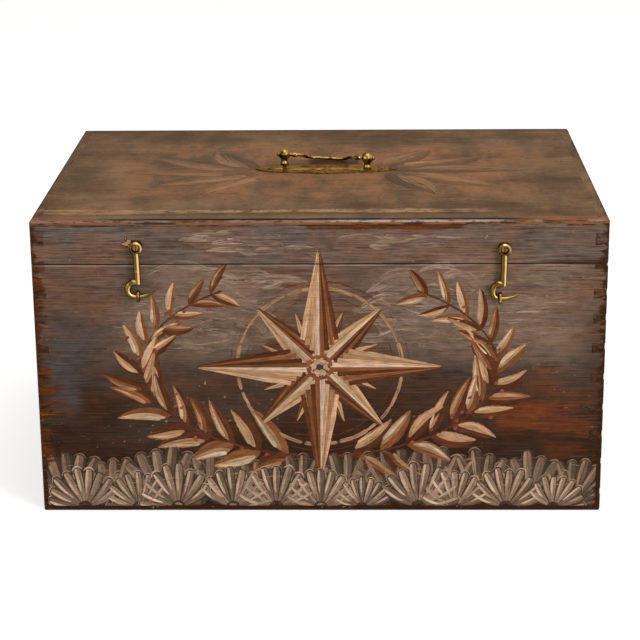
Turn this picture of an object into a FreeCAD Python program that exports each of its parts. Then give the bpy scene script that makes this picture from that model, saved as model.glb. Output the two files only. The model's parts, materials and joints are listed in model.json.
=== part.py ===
import FreeCAD, Part
import math
import os
import Sketcher

# A dovetailed pine sea chest: one box, glued up closed and sawn into a case and a lid.
# It has butt hinges at the back, two hooks and screw eyes at the front and a bail handle on the top panel.
# Frame: X to the right, Y from front to back, Z up, origin on the ground under the middle of the box.

# Driving sizes, in millimetres, or in degrees where the name ends in deg.
SIZES = {
    # Boards
    "chest_width": 610, "chest_depth": 457, "chest_height": 327, "lid_height": 46,
    "board_thickness": 15, "bottom_thickness": 12, "arris_radius": 2,
    # Top panel, let into a rabbet behind the lip of the lid rails
    "panel_thickness": 9, "rail_lip": 11, "panel_gap": 0.8,
    # Dovetail pins: height at the outside edge, and how much higher they are at the inner line
    "case_pin_height": 8, "lid_pin_height": 10.5, "pin_flare": 3,
    # Cut brads
    "brad_length": 30, "brad_head": 3, "brad_point": 1.4,
    # Butt hinges, each at the same distance from its end of the box
    "hinge_inset": 115, "hinge_length": 64, "leaf_width": 11, "leaf_thickness": 1.6,
    "knuckle_radius": 3.2, "hinge_pin_radius": 1.3, "hinge_clearance": 0.3, "pivot_fit": 0.05,
    "hinge_screw_radius": 1.5, "hinge_screw_head": 3, "hinge_screw_length": 14,
    # Hooks, each with its own distance from the end of the box and the seam, its own lean and its own arm
    "left_hook_inset": 112.8, "left_hook_rise": 19.8, "left_hook_lean_deg": 1.5,
    "right_hook_inset": 110.3, "right_hook_rise": 16.8, "right_hook_lean_deg": -0.8,
    "left_arm_radius": 41, "left_arm_deg": 31, "right_arm_radius": 46, "right_arm_deg": 27,
    "eyelet_radius": 6.8, "eyelet_length": 10.4, "eyelet_round": 1.6, "eyelet_recess_radius": 4.2,
    "eyelet_recess_depth": 5.2, "seat_gap": 0.2,
    "hook_shank_radius": 3.4, "hook_shank_length": 39, "hook_reach": 53.4, "hook_wire_radius": 3.3,
    "hook_bend_radius": 8.1, "hook_bend_offset": 2.9, "hook_arm_root_radius": 2.3, "hook_tip_radius": 0.9,
    "hook_screw_radius": 1.75, "hook_screw_head": 3.2, "hook_screw_head_height": 2.4,
    "hook_screw_depth": 12, "screw_slot_width": 0.9, "screw_slot_depth": 0.9,
    # Screw eyes, each at its own angle round the pivot of its hook
    "eye_ring_radius": 5, "eye_wire_radius": 1.7, "eye_depth": 11, "eye_lift": 0.5,
    "left_eye_deg": 1.3, "right_eye_deg": -4,
    # Handle
    "handle_x": 4, "handle_y": 8, "plate_length": 164, "plate_width": 42, "plate_thickness": 1.2,
    "plate_pin_inset": 16, "plate_pin_radius": 0.8, "plate_pin_head": 1.8,
    "plate_pin_head_height": 0.8, "plate_pin_length": 7,
    "post_spacing": 96, "post_height": 12.3, "ball_radius": 6.6, "neck_radius": 4, "waist_radius": 3.6,
    "flare_radius": 4.7, "flare_height": 2.2, "stem_radius": 2.4, "stem_length": 20, "left_post_lift": 4.9,
    "cap_radius": 2.8, "cap_offset": 6, "nut_radius": 4.6, "nut_height": 3.6,
    "bail_radius": 1.8, "bail_reach": 49, "bail_end_run": 15.5, "bail_inner_bend": 6, "bail_outer_bend": 12,
    "bail_leg_deg": 84, "bead_radius": 2.8, "bead_length": 9, "bail_seat_gap": 0.3, "bail_pin_depth": 3,
    # One overrun serves all cuts
    "overrun": 5,
}

# Places as shares of the size that they follow.
PIN_HEIGHT_SHARES = (0.063, 0.171, 0.268, 0.363, 0.468, 0.572, 0.672, 0.757, 0.855, 0.939)
LONG_BRAD_SHARES = (-0.42, -0.21, 0.0, 0.21, 0.42)
SHORT_BRAD_SHARES = (-0.36, -0.12, 0.12, 0.36)
HINGE_SCREW_SHARES = (-0.36, 0.0, 0.36)
KNUCKLE_COUNT = 5
CASE_KNUCKLES = (0, 2, 4)
LID_KNUCKLES = (1, 3)
# The ends of a bead lie inside the bar of the bail, at this share of its radius.
BEAD_END_SHARE = 0.8
# One quarter of the plate's edge, from its pointed tip: middle and end of each arc, as shares of half sizes.
PLATE_ARC_SHARES = (((0.93, 0.30), (0.82, 0.52)), ((0.66, 0.72), (0.52, 0.72)), ((0.43, 0.76), (0.34, 0.88)))

doc = FreeCAD.newDocument("SeaChest")
sheet = doc.addObject("Spreadsheet::Sheet", "Sizes")
for row, (size_name, size_value) in enumerate(SIZES.items(), start=1):
    sheet.set(f"A{row}", size_name.replace("_", " "))
    sheet.set(f"B{row}", str(size_value))
    sheet.setAlias(f"B{row}", size_name)
doc.recompute()

CELLS = {size_name: "Sizes." + size_name for size_name in SIZES}
BASE = ("Placement.Base.x", "Placement.Base.y", "Placement.Base.z")
TURNS = {
    "X": FreeCAD.Rotation(FreeCAD.Vector(0, 1, 0), 90),
    "Y": FreeCAD.Rotation(FreeCAD.Vector(1, 0, 0), -90),
    "Z": FreeCAD.Rotation(),
}
nodes = []


def size(size_name):
    """A driving size, as the sheet holds it."""
    return float(sheet.get(size_name))


def tie(item, paths, texts):
    """Binds properties of an object to formulas in which a name in braces is a driving size."""
    for path, text in zip(paths, texts):
        item.setExpression(path, text.format_map(CELLS))


def keep(item):
    """Lists an object as a finished sub-part."""
    nodes.append(item)
    return item


def box(name, low, lengths):
    item = doc.addObject("Part::Box", name)
    tie(item, BASE, low)
    tie(item, ("Length", "Width", "Height"), lengths)
    return item


def cylinder(name, axis, low, radius, length):
    item = doc.addObject("Part::Cylinder", name)
    item.Placement.Rotation = TURNS[axis]
    tie(item, BASE, low)
    tie(item, ("Radius", "Height"), (radius, length))
    return item


def fuse(name, *pieces):
    item = doc.addObject("Part::MultiFuse", name)
    item.Shapes = list(pieces)
    item.Refine = True
    return item


def cut(name, base, *tools):
    item = doc.addObject("Part::Cut", name)
    item.Base = base
    item.Tool = tools[0] if len(tools) == 1 else fuse(name + "_tools", *tools)
    item.Refine = True
    return item


def common(name, base, tool):
    item = doc.addObject("Part::Common", name)
    item.Base = base
    item.Tool = tool
    item.Refine = True
    return item


def body(name, position=("0", "0", "0"), turns=("0", "0", "0")):
    """An empty body, placed by formulas: position along X, Y, Z and turns about Z, Y, X."""
    item = doc.addObject("PartDesign::Body", name)
    vector = "create(<<vector>>; {}; {}; {})".format(*position)
    rotation = "create(<<rotation>>; {}; {}; {})".format(*turns)
    tie(item, ("Placement",), (f"create(<<placement>>; {vector}; {rotation})",))
    return item


def sketch(owner, name, plane, offset=None):
    """A sketch on one of the body's own planes, moved along its normal by a formula."""
    item = owner.newObject("Sketcher::SketchObject", name)
    support = next(feature for feature in owner.Origin.OriginFeatures if feature.Role == plane)
    item.AttachmentSupport = [(support, "")]
    item.MapMode = "FlatFace"
    if offset:
        tie(item, ("AttachmentOffset.Base.z",), (offset,))
    return item


def polygon(target, corners):
    """Adds a closed outline of straight edges whose corners are tied to formulas."""
    first = target.GeometryCount
    count = len(corners)
    starts = [[evaluate(text) for text in corner] for corner in corners]
    for index, (x, y) in enumerate(starts):
        next_x, next_y = starts[(index + 1) % count]
        target.addGeometry(Part.LineSegment(FreeCAD.Vector(x, y, 0), FreeCAD.Vector(next_x, next_y, 0)))
    for index in range(count):
        following = (index + 1) % count
        target.addConstraint(Sketcher.Constraint("Coincident", first + index, 2, first + following, 1))
    for index, corner in enumerate(corners):
        for kind, text, start in zip(("DistanceX", "DistanceY"), corner, starts[index]):
            number = target.addConstraint(Sketcher.Constraint(kind, -1, 1, first + index, 1, start))
            tie(target, (f"Constraints[{number}]",), (text,))


def evaluate(text):
    """The value of a formula, for the first drawing of a sketch."""
    return float(sheet.evalExpression(text.format_map(CELLS)))


def circle(target, centre, radius):
    """Adds a circle whose centre and radius are tied to formulas."""
    x, y = (evaluate(text) for text in centre)
    normal = FreeCAD.Vector(0, 0, 1)
    number = target.addGeometry(Part.Circle(FreeCAD.Vector(x, y, 0), normal, evaluate(radius)))
    for kind, text, start in zip(("DistanceX", "DistanceY"), centre, (x, y)):
        constraint = target.addConstraint(Sketcher.Constraint(kind, -1, 1, number, 3, start))
        tie(target, (f"Constraints[{constraint}]",), (text,))
    constraint = target.addConstraint(Sketcher.Constraint("Radius", number, evaluate(radius)))
    tie(target, (f"Constraints[{constraint}]",), (radius,))


def trace(target, start, *steps):
    """Draws a run of edges: a step of one point is a straight edge, a step of two points is an arc."""
    here = FreeCAD.Vector(start[0], start[1], 0)
    for step in steps:
        points = [FreeCAD.Vector(x, y, 0) for x, y in step]
        if len(points) == 1:
            target.addGeometry(Part.LineSegment(here, points[0]))
        else:
            target.addGeometry(Part.Arc(here, points[0], points[1]))
        here = points[-1]


def pad(owner, profile, length, symmetric=False, reverse=False):
    item = owner.newObject("PartDesign::Pad", profile.Name + "_pad")
    item.Profile = profile
    item.SideType = "Symmetric" if symmetric else "One side"
    item.Reversed = reverse
    tie(item, ("Length",), (length,))
    return item


def revolve(owner, profile, axis):
    """Turns a profile right round one of its sketch's own axes."""
    item = owner.newObject("PartDesign::Revolution", profile.Name + "_turned")
    item.Profile = profile
    item.ReferenceAxis = (profile, [axis])
    item.Angle = 360
    return item


def pipe(owner, profile, path, sections=()):
    """Carries a profile along a path, blending into any further sections."""
    item = owner.newObject("PartDesign::AdditivePipe", profile.Name + "_pipe")
    item.Profile = profile
    item.Spine = (path, [f"Edge{number + 1}" for number in range(path.GeometryCount)])
    if sections:
        item.Transformation = "Multisection"
        item.Sections = [(section, [""]) for section in sections]
    return item


# The outside of the closed box, with its arrises eased all round, and the two halves that the saw leaves.
HALF_WIDTH = "{chest_width} / 2"
HALF_DEPTH = "{chest_depth} / 2"
SEAM = "({chest_height} - {lid_height})"
outer_form = body("outer_form")
outer_outline = sketch(outer_form, "outer_outline", "XY_Plane")
polygon(outer_outline, [(f"-{HALF_WIDTH}", f"-{HALF_DEPTH}"), (HALF_WIDTH, f"-{HALF_DEPTH}"),
                        (HALF_WIDTH, HALF_DEPTH), (f"-{HALF_WIDTH}", HALF_DEPTH)])
outer_pad = pad(outer_form, outer_outline, "{chest_height}")
doc.recompute()
outer_easing = outer_form.newObject("PartDesign::Fillet", "outer_easing")
outer_easing.Base = (outer_pad, [f"Edge{number + 1}" for number in range(len(outer_pad.Shape.Edges))])
tie(outer_easing, ("Radius",), ("{arris_radius}",))


def half(name, low, high):
    """The part of the closed box between two heights."""
    slab = box(name + "_slab", (f"-{HALF_WIDTH} - {{overrun}}", f"-{HALF_DEPTH} - {{overrun}}", low),
               ("{chest_width} + 2 * {overrun}", "{chest_depth} + 2 * {overrun}", f"{high} - ({low})"))
    return common(name, outer_form, slab)


case_half = half("case_half", "-{overrun}", SEAM)
lid_half = half("lid_half", SEAM, "{chest_height} + {overrun}")

# Dovetail pins of the left end, right through front and back: narrow at the outside edge, wider inside.
left_pins = body("left_pins")
pin_outlines = sketch(left_pins, "pin_outlines", "XZ_Plane")
for share in PIN_HEIGHT_SHARES:
    in_lid = share == PIN_HEIGHT_SHARES[-1]
    outside = "{lid_pin_height} / 2" if in_lid else "{case_pin_height} / 2"
    inside = f"({outside} + {{pin_flare}} / 2)"
    centre = f"{{chest_height}} * {share}"
    polygon(pin_outlines, [(f"-{HALF_WIDTH}", f"{centre} - {outside}"),
                           (f"-{HALF_WIDTH} + {{board_thickness}}", f"{centre} - {inside}"),
                           (f"-{HALF_WIDTH} + {{board_thickness}}", f"{centre} + {inside}"),
                           (f"-{HALF_WIDTH}", f"{centre} + {outside}")])
pad(left_pins, pin_outlines, "{chest_depth}", symmetric=True)


def mirrored(name, source):
    """The same piece for the right-hand side."""
    item = doc.addObject("Part::Mirroring", name)
    item.Source = source
    item.Normal = FreeCAD.Vector(1, 0, 0)
    return item


right_pins = mirrored("right_pins", left_pins)

# Boards at their full height, as they are glued up before the lid is sawn off.
left_end_slab = box("left_end_slab", (f"-{HALF_WIDTH}", f"-{HALF_DEPTH} + {{board_thickness}}", "0"),
                    ("{board_thickness}", "{chest_depth} - 2 * {board_thickness}", "{chest_height}"))
left_end_board = fuse("left_end_board", left_end_slab, left_pins)
right_end_board = mirrored("right_end_board", left_end_board)


def tail_board(name, low_y):
    """A front or back board: a plank with a socket for every pin at both ends."""
    plank = box(name + "_plank", (f"-{HALF_WIDTH}", low_y, "0"),
                ("{chest_width}", "{board_thickness}", "{chest_height}"))
    return cut(name, plank, left_pins, right_pins)


front_board = tail_board("front_board", f"-{HALF_DEPTH}")
back_board = tail_board("back_board", f"{HALF_DEPTH} - {{board_thickness}}")


def brads(name, height):
    """Tapered cut brads, driven from all four outside faces at one height, heads flush."""
    sides = ((0, f"-{HALF_DEPTH}", "{chest_width}", LONG_BRAD_SHARES),
             (180, HALF_DEPTH, "{chest_width}", LONG_BRAD_SHARES),
             (-90, f"-{HALF_WIDTH}", "{chest_depth}", SHORT_BRAD_SHARES),
             (90, HALF_WIDTH, "{chest_depth}", SHORT_BRAD_SHARES))
    members = []
    for turn, face, span, shares in sides:
        for share in shares:
            brad = doc.addObject("Part::Wedge", f"{name}_{len(members) + 1}")
            tie(brad, ("Xmin", "Xmax", "Zmin", "Zmax"), ("-{brad_head} / 2", "{brad_head} / 2") * 2)
            tie(brad, ("X2min", "X2max", "Z2min", "Z2max"), ("-{brad_point} / 2", "{brad_point} / 2") * 2)
            tie(brad, ("Ymin", "Ymax"), ("0 mm", "{brad_length}"))
            brad.Placement.Rotation = FreeCAD.Rotation(FreeCAD.Vector(0, 0, 1), turn)
            along = f"{span} * {share}"
            across = (along, face) if turn in (0, 180) else (face, along)
            tie(brad, BASE, across + (height,))
            members.append(brad)
    return keep(fuse(name, *members))


bottom_brads = brads("bottom_brads", "{bottom_thickness} / 2")
top_brads = brads("top_brads", "{chest_height} - {panel_thickness} / 2")

# Butt hinges: leaves let into the seam, knuckles just behind the back of the box, pin axis at seam height.
HINGE_CENTRES = {"left": f"-{HALF_WIDTH} + {{hinge_inset}}", "right": f"{HALF_WIDTH} - {{hinge_inset}}"}
KNUCKLE_PITCH = "{hinge_length} / " + str(KNUCKLE_COUNT)
HINGE_AXIS_Y = f"{HALF_DEPTH} + {{knuckle_radius}} + {{hinge_clearance}} + {{seat_gap}}"


def hinge_screws(name, side_of_seam):
    """Countersunk screws of both hinges, down into the case or up into the lid."""
    members = []
    head_height = "({hinge_screw_head} - {hinge_screw_radius})"
    for centre in HINGE_CENTRES.values():
        for share in HINGE_SCREW_SHARES:
            number = len(members) + 1
            x = f"{centre} + {{hinge_length}} * {share}"
            y = f"{HALF_DEPTH} - {{leaf_width}} / 2"
            head = doc.addObject("Part::Cone", f"{name}_head_{number}")
            shank_low = f"{SEAM} - {{hinge_screw_length}}"
            if side_of_seam == "case":
                tie(head, BASE, (x, y, f"{SEAM} - {head_height}"))
                tie(head, ("Radius1", "Radius2"), ("{hinge_screw_radius}", "{hinge_screw_head}"))
            else:
                tie(head, BASE, (x, y, SEAM))
                tie(head, ("Radius1", "Radius2"), ("{hinge_screw_head}", "{hinge_screw_radius}"))
                shank_low = f"{SEAM} + {head_height}"
            tie(head, ("Height",), (head_height,))
            shank = cylinder(f"{name}_shank_{number}", "Z", (x, y, shank_low), "{hinge_screw_radius}",
                             f"{{hinge_screw_length}} - {head_height}")
            members.append(fuse(f"{name}_{number}", head, shank))
    return keep(fuse(name, *members))


hinge_case_screws = hinge_screws("hinge_case_screws", "case")
hinge_lid_screws = hinge_screws("hinge_lid_screws", "lid")


def hinge_leaf(name, centre, low_z, own_knuckles, other_knuckles, screws):
    """One leaf: a plate in the seam, cut away for the other leaf's knuckles and bored for the pin."""
    left = f"{centre} - {{hinge_length}} / 2"
    plate = box(name + "_plate", (left, f"{HALF_DEPTH} - {{leaf_width}}", low_z),
                ("{hinge_length}", f"{HINGE_AXIS_Y} - ({HALF_DEPTH} - {{leaf_width}})", "{leaf_thickness}"))
    notch_depth = "({knuckle_radius} + {hinge_clearance})"
    notches = [box(f"{name}_notch_{index}",
                   (f"{left} + {index} * {KNUCKLE_PITCH}", f"{HINGE_AXIS_Y} - {notch_depth}",
                    f"{low_z} - {{overrun}}"),
                   (KNUCKLE_PITCH, f"{notch_depth} + {{overrun}}", "{leaf_thickness} + 2 * {overrun}"))
               for index in other_knuckles]
    knuckle_left = f"{left} + {{hinge_clearance}} / 2"
    knuckles = [cylinder(f"{name}_knuckle_{index}", "X",
                         (f"{knuckle_left} + {index} * {KNUCKLE_PITCH}", HINGE_AXIS_Y, SEAM),
                         "{knuckle_radius}", f"{KNUCKLE_PITCH} - {{hinge_clearance}}")
                for index in own_knuckles]
    bore = cylinder(name + "_bore", "X", (f"{left} - {{overrun}}", HINGE_AXIS_Y, SEAM),
                    "{hinge_pin_radius} + {pivot_fit}", "{hinge_length} + 2 * {overrun}")
    leaf = fuse(name + "_leaf", cut(name + "_notched", plate, *notches), *knuckles)
    return keep(cut(name, leaf, bore, screws))


case_leaves = []
lid_leaves = []
for side, hinge_centre in HINGE_CENTRES.items():
    case_leaves.append(hinge_leaf(f"{side}_hinge_case_leaf", hinge_centre, f"{SEAM} - {{leaf_thickness}}",
                                  CASE_KNUCKLES, LID_KNUCKLES, hinge_case_screws))
    lid_leaves.append(hinge_leaf(f"{side}_hinge_lid_leaf", hinge_centre, SEAM,
                                 LID_KNUCKLES, CASE_KNUCKLES, hinge_lid_screws))
    keep(cylinder(f"{side}_hinge_pin", "X",
                  (f"{hinge_centre} - {{hinge_length}} / 2 + {{hinge_clearance}} / 2", HINGE_AXIS_Y, SEAM),
                  "{hinge_pin_radius}", "{hinge_length} - {hinge_clearance}"))

# Hooks and screw eyes. The hook's plane stands off the front by the size of the eye's ring.
HOOK_X = {"left": f"-{HALF_WIDTH} + {{left_hook_inset}}", "right": f"{HALF_WIDTH} - {{right_hook_inset}}"}
HOOK_HEIGHT = {"left": f"{SEAM} + {{left_hook_rise}}", "right": f"{SEAM} + {{right_hook_rise}}"}
STANDOFF = "({eye_ring_radius} + {eye_wire_radius} + {seat_gap})"
EYELET_FRONT = "({seat_gap} + {eyelet_length})"
RECESS_FLOOR = f"({EYELET_FRONT} - {{eyelet_recess_depth}})"


def hook(side):
    """A hook about its pivot: turned eyelet, round shank, a bend that thins to the eye, and a tapered arm."""
    place = (HOOK_X[side], f"-{HALF_DEPTH}", HOOK_HEIGHT[side])
    owner = body(f"{side}_hook", place, ("0", f"-{{{side}_hook_lean_deg}}", "0"))
    eyelet = sketch(owner, f"{side}_eyelet", "XY_Plane")
    bore = "{hook_screw_radius} + {pivot_fit}"
    round_in = "{eyelet_radius} - {eyelet_round}"
    polygon(eyelet, [(bore, "-{seat_gap}"), ("{eyelet_radius}", "-{seat_gap}"),
                     ("{eyelet_radius}", f"-{EYELET_FRONT} + {{eyelet_round}}"),
                     (round_in, f"-{EYELET_FRONT}"),
                     ("{eyelet_recess_radius}", f"-{EYELET_FRONT}"),
                     ("{eyelet_recess_radius}", f"-{RECESS_FLOOR}"), (bore, f"-{RECESS_FLOOR}")])
    revolve(owner, eyelet, "V_Axis")

    shank = sketch(owner, f"{side}_shank", "XY_Plane", "-({eyelet_radius} + {eyelet_recess_radius}) / 2")
    circle(shank, ("0", f"-{STANDOFF}"), "{hook_shank_radius}")
    pad(owner, shank, "{hook_shank_length} - ({eyelet_radius} + {eyelet_recess_radius}) / 2", reverse=True)

    reach = size("hook_reach")
    bend = size("hook_bend_radius")
    bend_x = -size("hook_bend_offset")
    bend_top = 2 * bend - reach
    bend_path = sketch(owner, f"{side}_bend_path", "XZ_Plane", STANDOFF)
    trace(bend_path, (0, bend_top), [(bend_x, bend_top)], [(bend_x - bend, bend - reach), (bend_x, -reach)])
    bend_start = sketch(owner, f"{side}_bend_start", "YZ_Plane")
    circle(bend_start, (f"-{STANDOFF}", "2 * {hook_bend_radius} - {hook_reach}"), "{hook_wire_radius}")
    bend_middle = sketch(owner, f"{side}_bend_middle", "XY_Plane", "{hook_bend_radius} - {hook_reach}")
    circle(bend_middle, ("-{hook_bend_offset} - {hook_bend_radius}", f"-{STANDOFF}"), "{hook_wire_radius}")
    arm_root = sketch(owner, f"{side}_arm_root", "YZ_Plane", "-{hook_bend_offset}")
    circle(arm_root, (f"-{STANDOFF}", "-{hook_reach}"), "{hook_arm_root_radius}")
    pipe(owner, bend_start, bend_path, [bend_middle, arm_root])

    arm = size(f"{side}_arm_radius")
    arm_deg = size(f"{side}_arm_deg")
    turn = math.radians(arm_deg)

    def arm_point(angle):
        return bend_x + arm * math.sin(angle), arm * (1 - math.cos(angle)) - reach

    arm_path = sketch(owner, f"{side}_arm_path", "XZ_Plane", STANDOFF)
    trace(arm_path, arm_point(0), [arm_point(turn / 2), arm_point(turn)])
    arm_tip = sketch(owner, f"{side}_arm_tip", "YZ_Plane")
    tip_x, tip_z = arm_point(turn)
    arm_tip.AttachmentOffset = FreeCAD.Placement(
        FreeCAD.Vector(0, tip_z, tip_x), FreeCAD.Rotation(FreeCAD.Vector(1, 0, 0), -arm_deg))
    circle(arm_tip, (f"-{STANDOFF}", "0"), "{hook_tip_radius}")
    pipe(owner, arm_root, arm_path, [arm_tip])
    return keep(owner)


def hook_screw(side):
    """A pivot screw with its slotted head down in the eyelet's recess."""
    x, z = HOOK_X[side], HOOK_HEIGHT[side]
    head_back = f"-{HALF_DEPTH} - {RECESS_FLOOR} - {{pivot_fit}}"
    head_front = f"{head_back} - {{hook_screw_head_height}}"
    head = cylinder(f"{side}_hook_screw_head", "Y", (x, head_front, z), "{hook_screw_head}",
                    "{hook_screw_head_height}")
    slot = box(f"{side}_screw_slot", (f"{x} - {{screw_slot_width}} / 2", f"{head_front} - {{overrun}}",
                                      f"{z} - {{hook_screw_head}} - {{overrun}}"),
               ("{screw_slot_width}", "{overrun} + {screw_slot_depth}",
                "2 * ({hook_screw_head} + {overrun})"))
    shank = cylinder(f"{side}_hook_screw_shank", "Y", (x, head_back, z), "{hook_screw_radius}",
                     f"{RECESS_FLOOR} + {{pivot_fit}} + {{hook_screw_depth}}")
    return cut(f"{side}_hook_screw", fuse(f"{side}_hook_screw_blank", head, shank), slot)


def screw_eye(side):
    """A wire ring seen edge-on from the front, on a shank driven into the case."""
    angle = f"({{{side}_eye_deg}} * 1 deg)"
    drop = "({hook_reach} - {eye_lift})"
    x = f"{HOOK_X[side]} + {drop} * sin({angle})"
    z = f"{HOOK_HEIGHT[side]} - {drop} * cos({angle})"
    ring = doc.addObject("Part::Torus", f"{side}_eye_ring")
    ring.Placement.Rotation = TURNS["X"]
    tie(ring, BASE, (x, f"-{HALF_DEPTH} - {STANDOFF}", z))
    tie(ring, ("Radius1", "Radius2"), ("{eye_ring_radius}", "{eye_wire_radius}"))
    shank = cylinder(f"{side}_eye_shank", "Y", (x, f"-{HALF_DEPTH} - {STANDOFF} + {{eye_ring_radius}}", z),
                     "{eye_wire_radius}", f"{STANDOFF} - {{eye_ring_radius}} + {{eye_depth}}")
    return keep(fuse(f"{side}_screw_eye", ring, shank))


hooks = [hook(side) for side in ("left", "right")]
hook_screws = keep(fuse("hook_screws", *[hook_screw(side) for side in ("left", "right")]))
screw_eyes = [screw_eye(side) for side in ("left", "right")]

# Bail handle. The left post stands proud on its stem, so the bail's axis slopes down to the right.
PLATE_TOP = "({chest_height} + {plate_thickness})"
AXIS_SLOPE = "atan({left_post_lift} / {post_spacing})"
AXIS_HEIGHT = f"({PLATE_TOP} + {{post_height}} + {{left_post_lift}} / 2)"
# The legs and the straight grip are what the bends leave of the reach and the span.
# The grip's low end decides how far the bail can lie down.
BENDS = "({bail_inner_bend} + {bail_outer_bend})"
LEG_TURN = "({bail_leg_deg} * 1 deg)"
LEG_LENGTH = f"(({{bail_reach}} - {BENDS} * (1 - cos({LEG_TURN}))) / sin({LEG_TURN}))"
GRIP_HALF = (f"({{post_spacing}} / 2 - {{bail_end_run}} - {BENDS} * sin({LEG_TURN}) "
             f"- {LEG_LENGTH} * cos({LEG_TURN}))")
BAIL_DROP = (f"({AXIS_HEIGHT} - {{chest_height}} - {{bail_radius}} - {{bail_seat_gap}} "
             f"- {GRIP_HALF} * {{left_post_lift}} / {{post_spacing}})")
BAIL_TILT = f"asin({BAIL_DROP} / {{bail_reach}})"


def bail_bore(side, sign):
    """The hole for the bail's end, from the inner side of the ball to a little past its centre."""
    start = "{post_spacing} / 2 + {bail_pin_depth} + {pivot_fit}"
    item = doc.addObject("Part::Cylinder", f"{side}_bail_bore")
    x = f"{{handle_x}} {sign} ({start}) * cos({AXIS_SLOPE})"
    z = f"{AXIS_HEIGHT} - (0 {sign} ({start})) * sin({AXIS_SLOPE})"
    heading = f"90 deg + {AXIS_SLOPE}" if sign == "-" else f"-90 deg + {AXIS_SLOPE}"
    tie(item, ("Placement",), (f"create(<<placement>>; create(<<vector>>; {x}; {{handle_y}}; {z}); "
                               f"create(<<rotation>>; 0; {heading}; 0))",))
    tie(item, ("Radius", "Height"), ("{bail_radius} + {pivot_fit}",
                                     "{bail_pin_depth} + {ball_radius} + {overrun}"))
    return item


def handle_post(side, sign, lift):
    """A turned post: threaded stem, flared foot, waisted neck, and a ball that takes the bail's end.

    A small round cap stands out of the ball's outer side.
    """
    owner = body(f"{side}_post_turning", (f"{{handle_x}} {sign} {{post_spacing}} / 2", "{handle_y}",
                                          f"{PLATE_TOP} + {lift}"))
    profile = sketch(owner, f"{side}_post_profile", "XZ_Plane")
    stem, foot, neck = size("stem_radius"), size("flare_radius"), size("neck_radius")
    ball, ball_height, foot_height = size("ball_radius"), size("post_height"), size("flare_height")
    neck_top = ball_height - math.sqrt(ball ** 2 - neck ** 2)
    trace(profile, (0, -size("stem_length")), [(stem, -size("stem_length"))], [(stem, 0)], [(foot, 0)],
          [(foot, foot_height)], [(size("waist_radius"), (foot_height + neck_top) / 2), (neck, neck_top)],
          [(ball, ball_height), (0, ball_height + ball)], [(0, -size("stem_length"))])
    revolve(owner, profile, "V_Axis")
    cap = doc.addObject("Part::Sphere", f"{side}_post_cap")
    tie(cap, BASE, (f"{{handle_x}} {sign} ({{post_spacing}} / 2 + {{cap_offset}})", "{handle_y}",
                    f"{PLATE_TOP} + {lift} + {{post_height}}"))
    tie(cap, ("Radius",), ("{cap_radius}",))
    return keep(cut(f"{side}_handle_post", fuse(f"{side}_capped_post", owner, cap), bail_bore(side, sign)))


posts = [handle_post("left", "-", "{left_post_lift}"), handle_post("right", "+", "0")]


def handle_bail():
    """A round bar with a bead beside each ball, bent back to a grip that lies down behind the posts."""
    owner = body("handle_bail", ("{handle_x}", "{handle_y}", AXIS_HEIGHT), ("0", AXIS_SLOPE, f"-{BAIL_TILT}"))
    turn = math.radians(size("bail_leg_deg"))
    inner, outer, reach = size("bail_inner_bend"), size("bail_outer_bend"), size("bail_reach")
    end = size("post_spacing") / 2 + size("bail_pin_depth")
    run = size("post_spacing") / 2 - size("bail_end_run")
    leg, grip = evaluate(LEG_LENGTH), evaluate(GRIP_HALF)
    first_x = run - inner * math.sin(turn)
    first_y = inner * (1 - math.cos(turn))
    second_x = first_x - leg * math.cos(turn)
    second_y = first_y + leg * math.sin(turn)

    def bend(centre, radius, angle):
        return centre[0] + radius * math.sin(angle), centre[1] + radius * math.cos(angle)

    inner_middle = bend((run, inner), -inner, turn / 2)
    outer_middle = bend((grip, reach - outer), outer, turn / 2)
    right = [(run, 0), inner_middle, (first_x, first_y), (second_x, second_y), outer_middle, (grip, reach)]
    left = [(-x, y) for x, y in right]
    path = sketch(owner, "bail_path", "XY_Plane")
    trace(path, (-end, 0), [left[0]], [left[1], left[2]], [left[3]], [left[4], left[5]], [right[5]],
          [right[4], right[3]], [right[2]], [right[1], right[0]], [(end, 0)])
    section = sketch(owner, "bail_section", "YZ_Plane", "-({post_spacing} / 2 + {bail_pin_depth})")
    circle(section, ("0", "0"), "{bail_radius}")
    pipe(owner, section, path)
    beads = sketch(owner, "bail_beads", "XY_Plane")
    bead_start = size("post_spacing") / 2 - size("ball_radius") - size("bail_seat_gap")
    bead_end = bead_start - size("bead_length")
    bead_middle = (bead_start + bead_end) / 2
    sunk = BEAD_END_SHARE * size("bail_radius")
    for hand in (-1, 1):
        trace(beads, (hand * bead_start, 0), [(hand * bead_start, sunk)],
              [(hand * bead_middle, size("bead_radius")), (hand * bead_end, sunk)],
              [(hand * bead_end, 0)], [(hand * bead_start, 0)])
    revolve(owner, beads, "H_Axis")
    return keep(owner)


bail = handle_bail()


def plate_pins():
    """A small round-headed pin near each tip of the plate."""
    members = []
    for hand in ("-", "+"):
        x = f"{{handle_x}} {hand} ({{plate_length}} / 2 - {{plate_pin_inset}})"
        low = f"{PLATE_TOP} - {{plate_pin_length}}"
        shank = cylinder(f"plate_pin_shank_{len(members)}", "Z", (x, "{handle_y}", low),
                         "{plate_pin_radius}", "{plate_pin_length}")
        head = cylinder(f"plate_pin_head_{len(members)}", "Z", (x, "{handle_y}", PLATE_TOP),
                        "{plate_pin_head}", "{plate_pin_head_height}")
        members.append(fuse(f"plate_pin_{len(members)}", shank, head))
    return keep(fuse("handle_plate_pins", *members))


handle_plate_pins = plate_pins()


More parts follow.
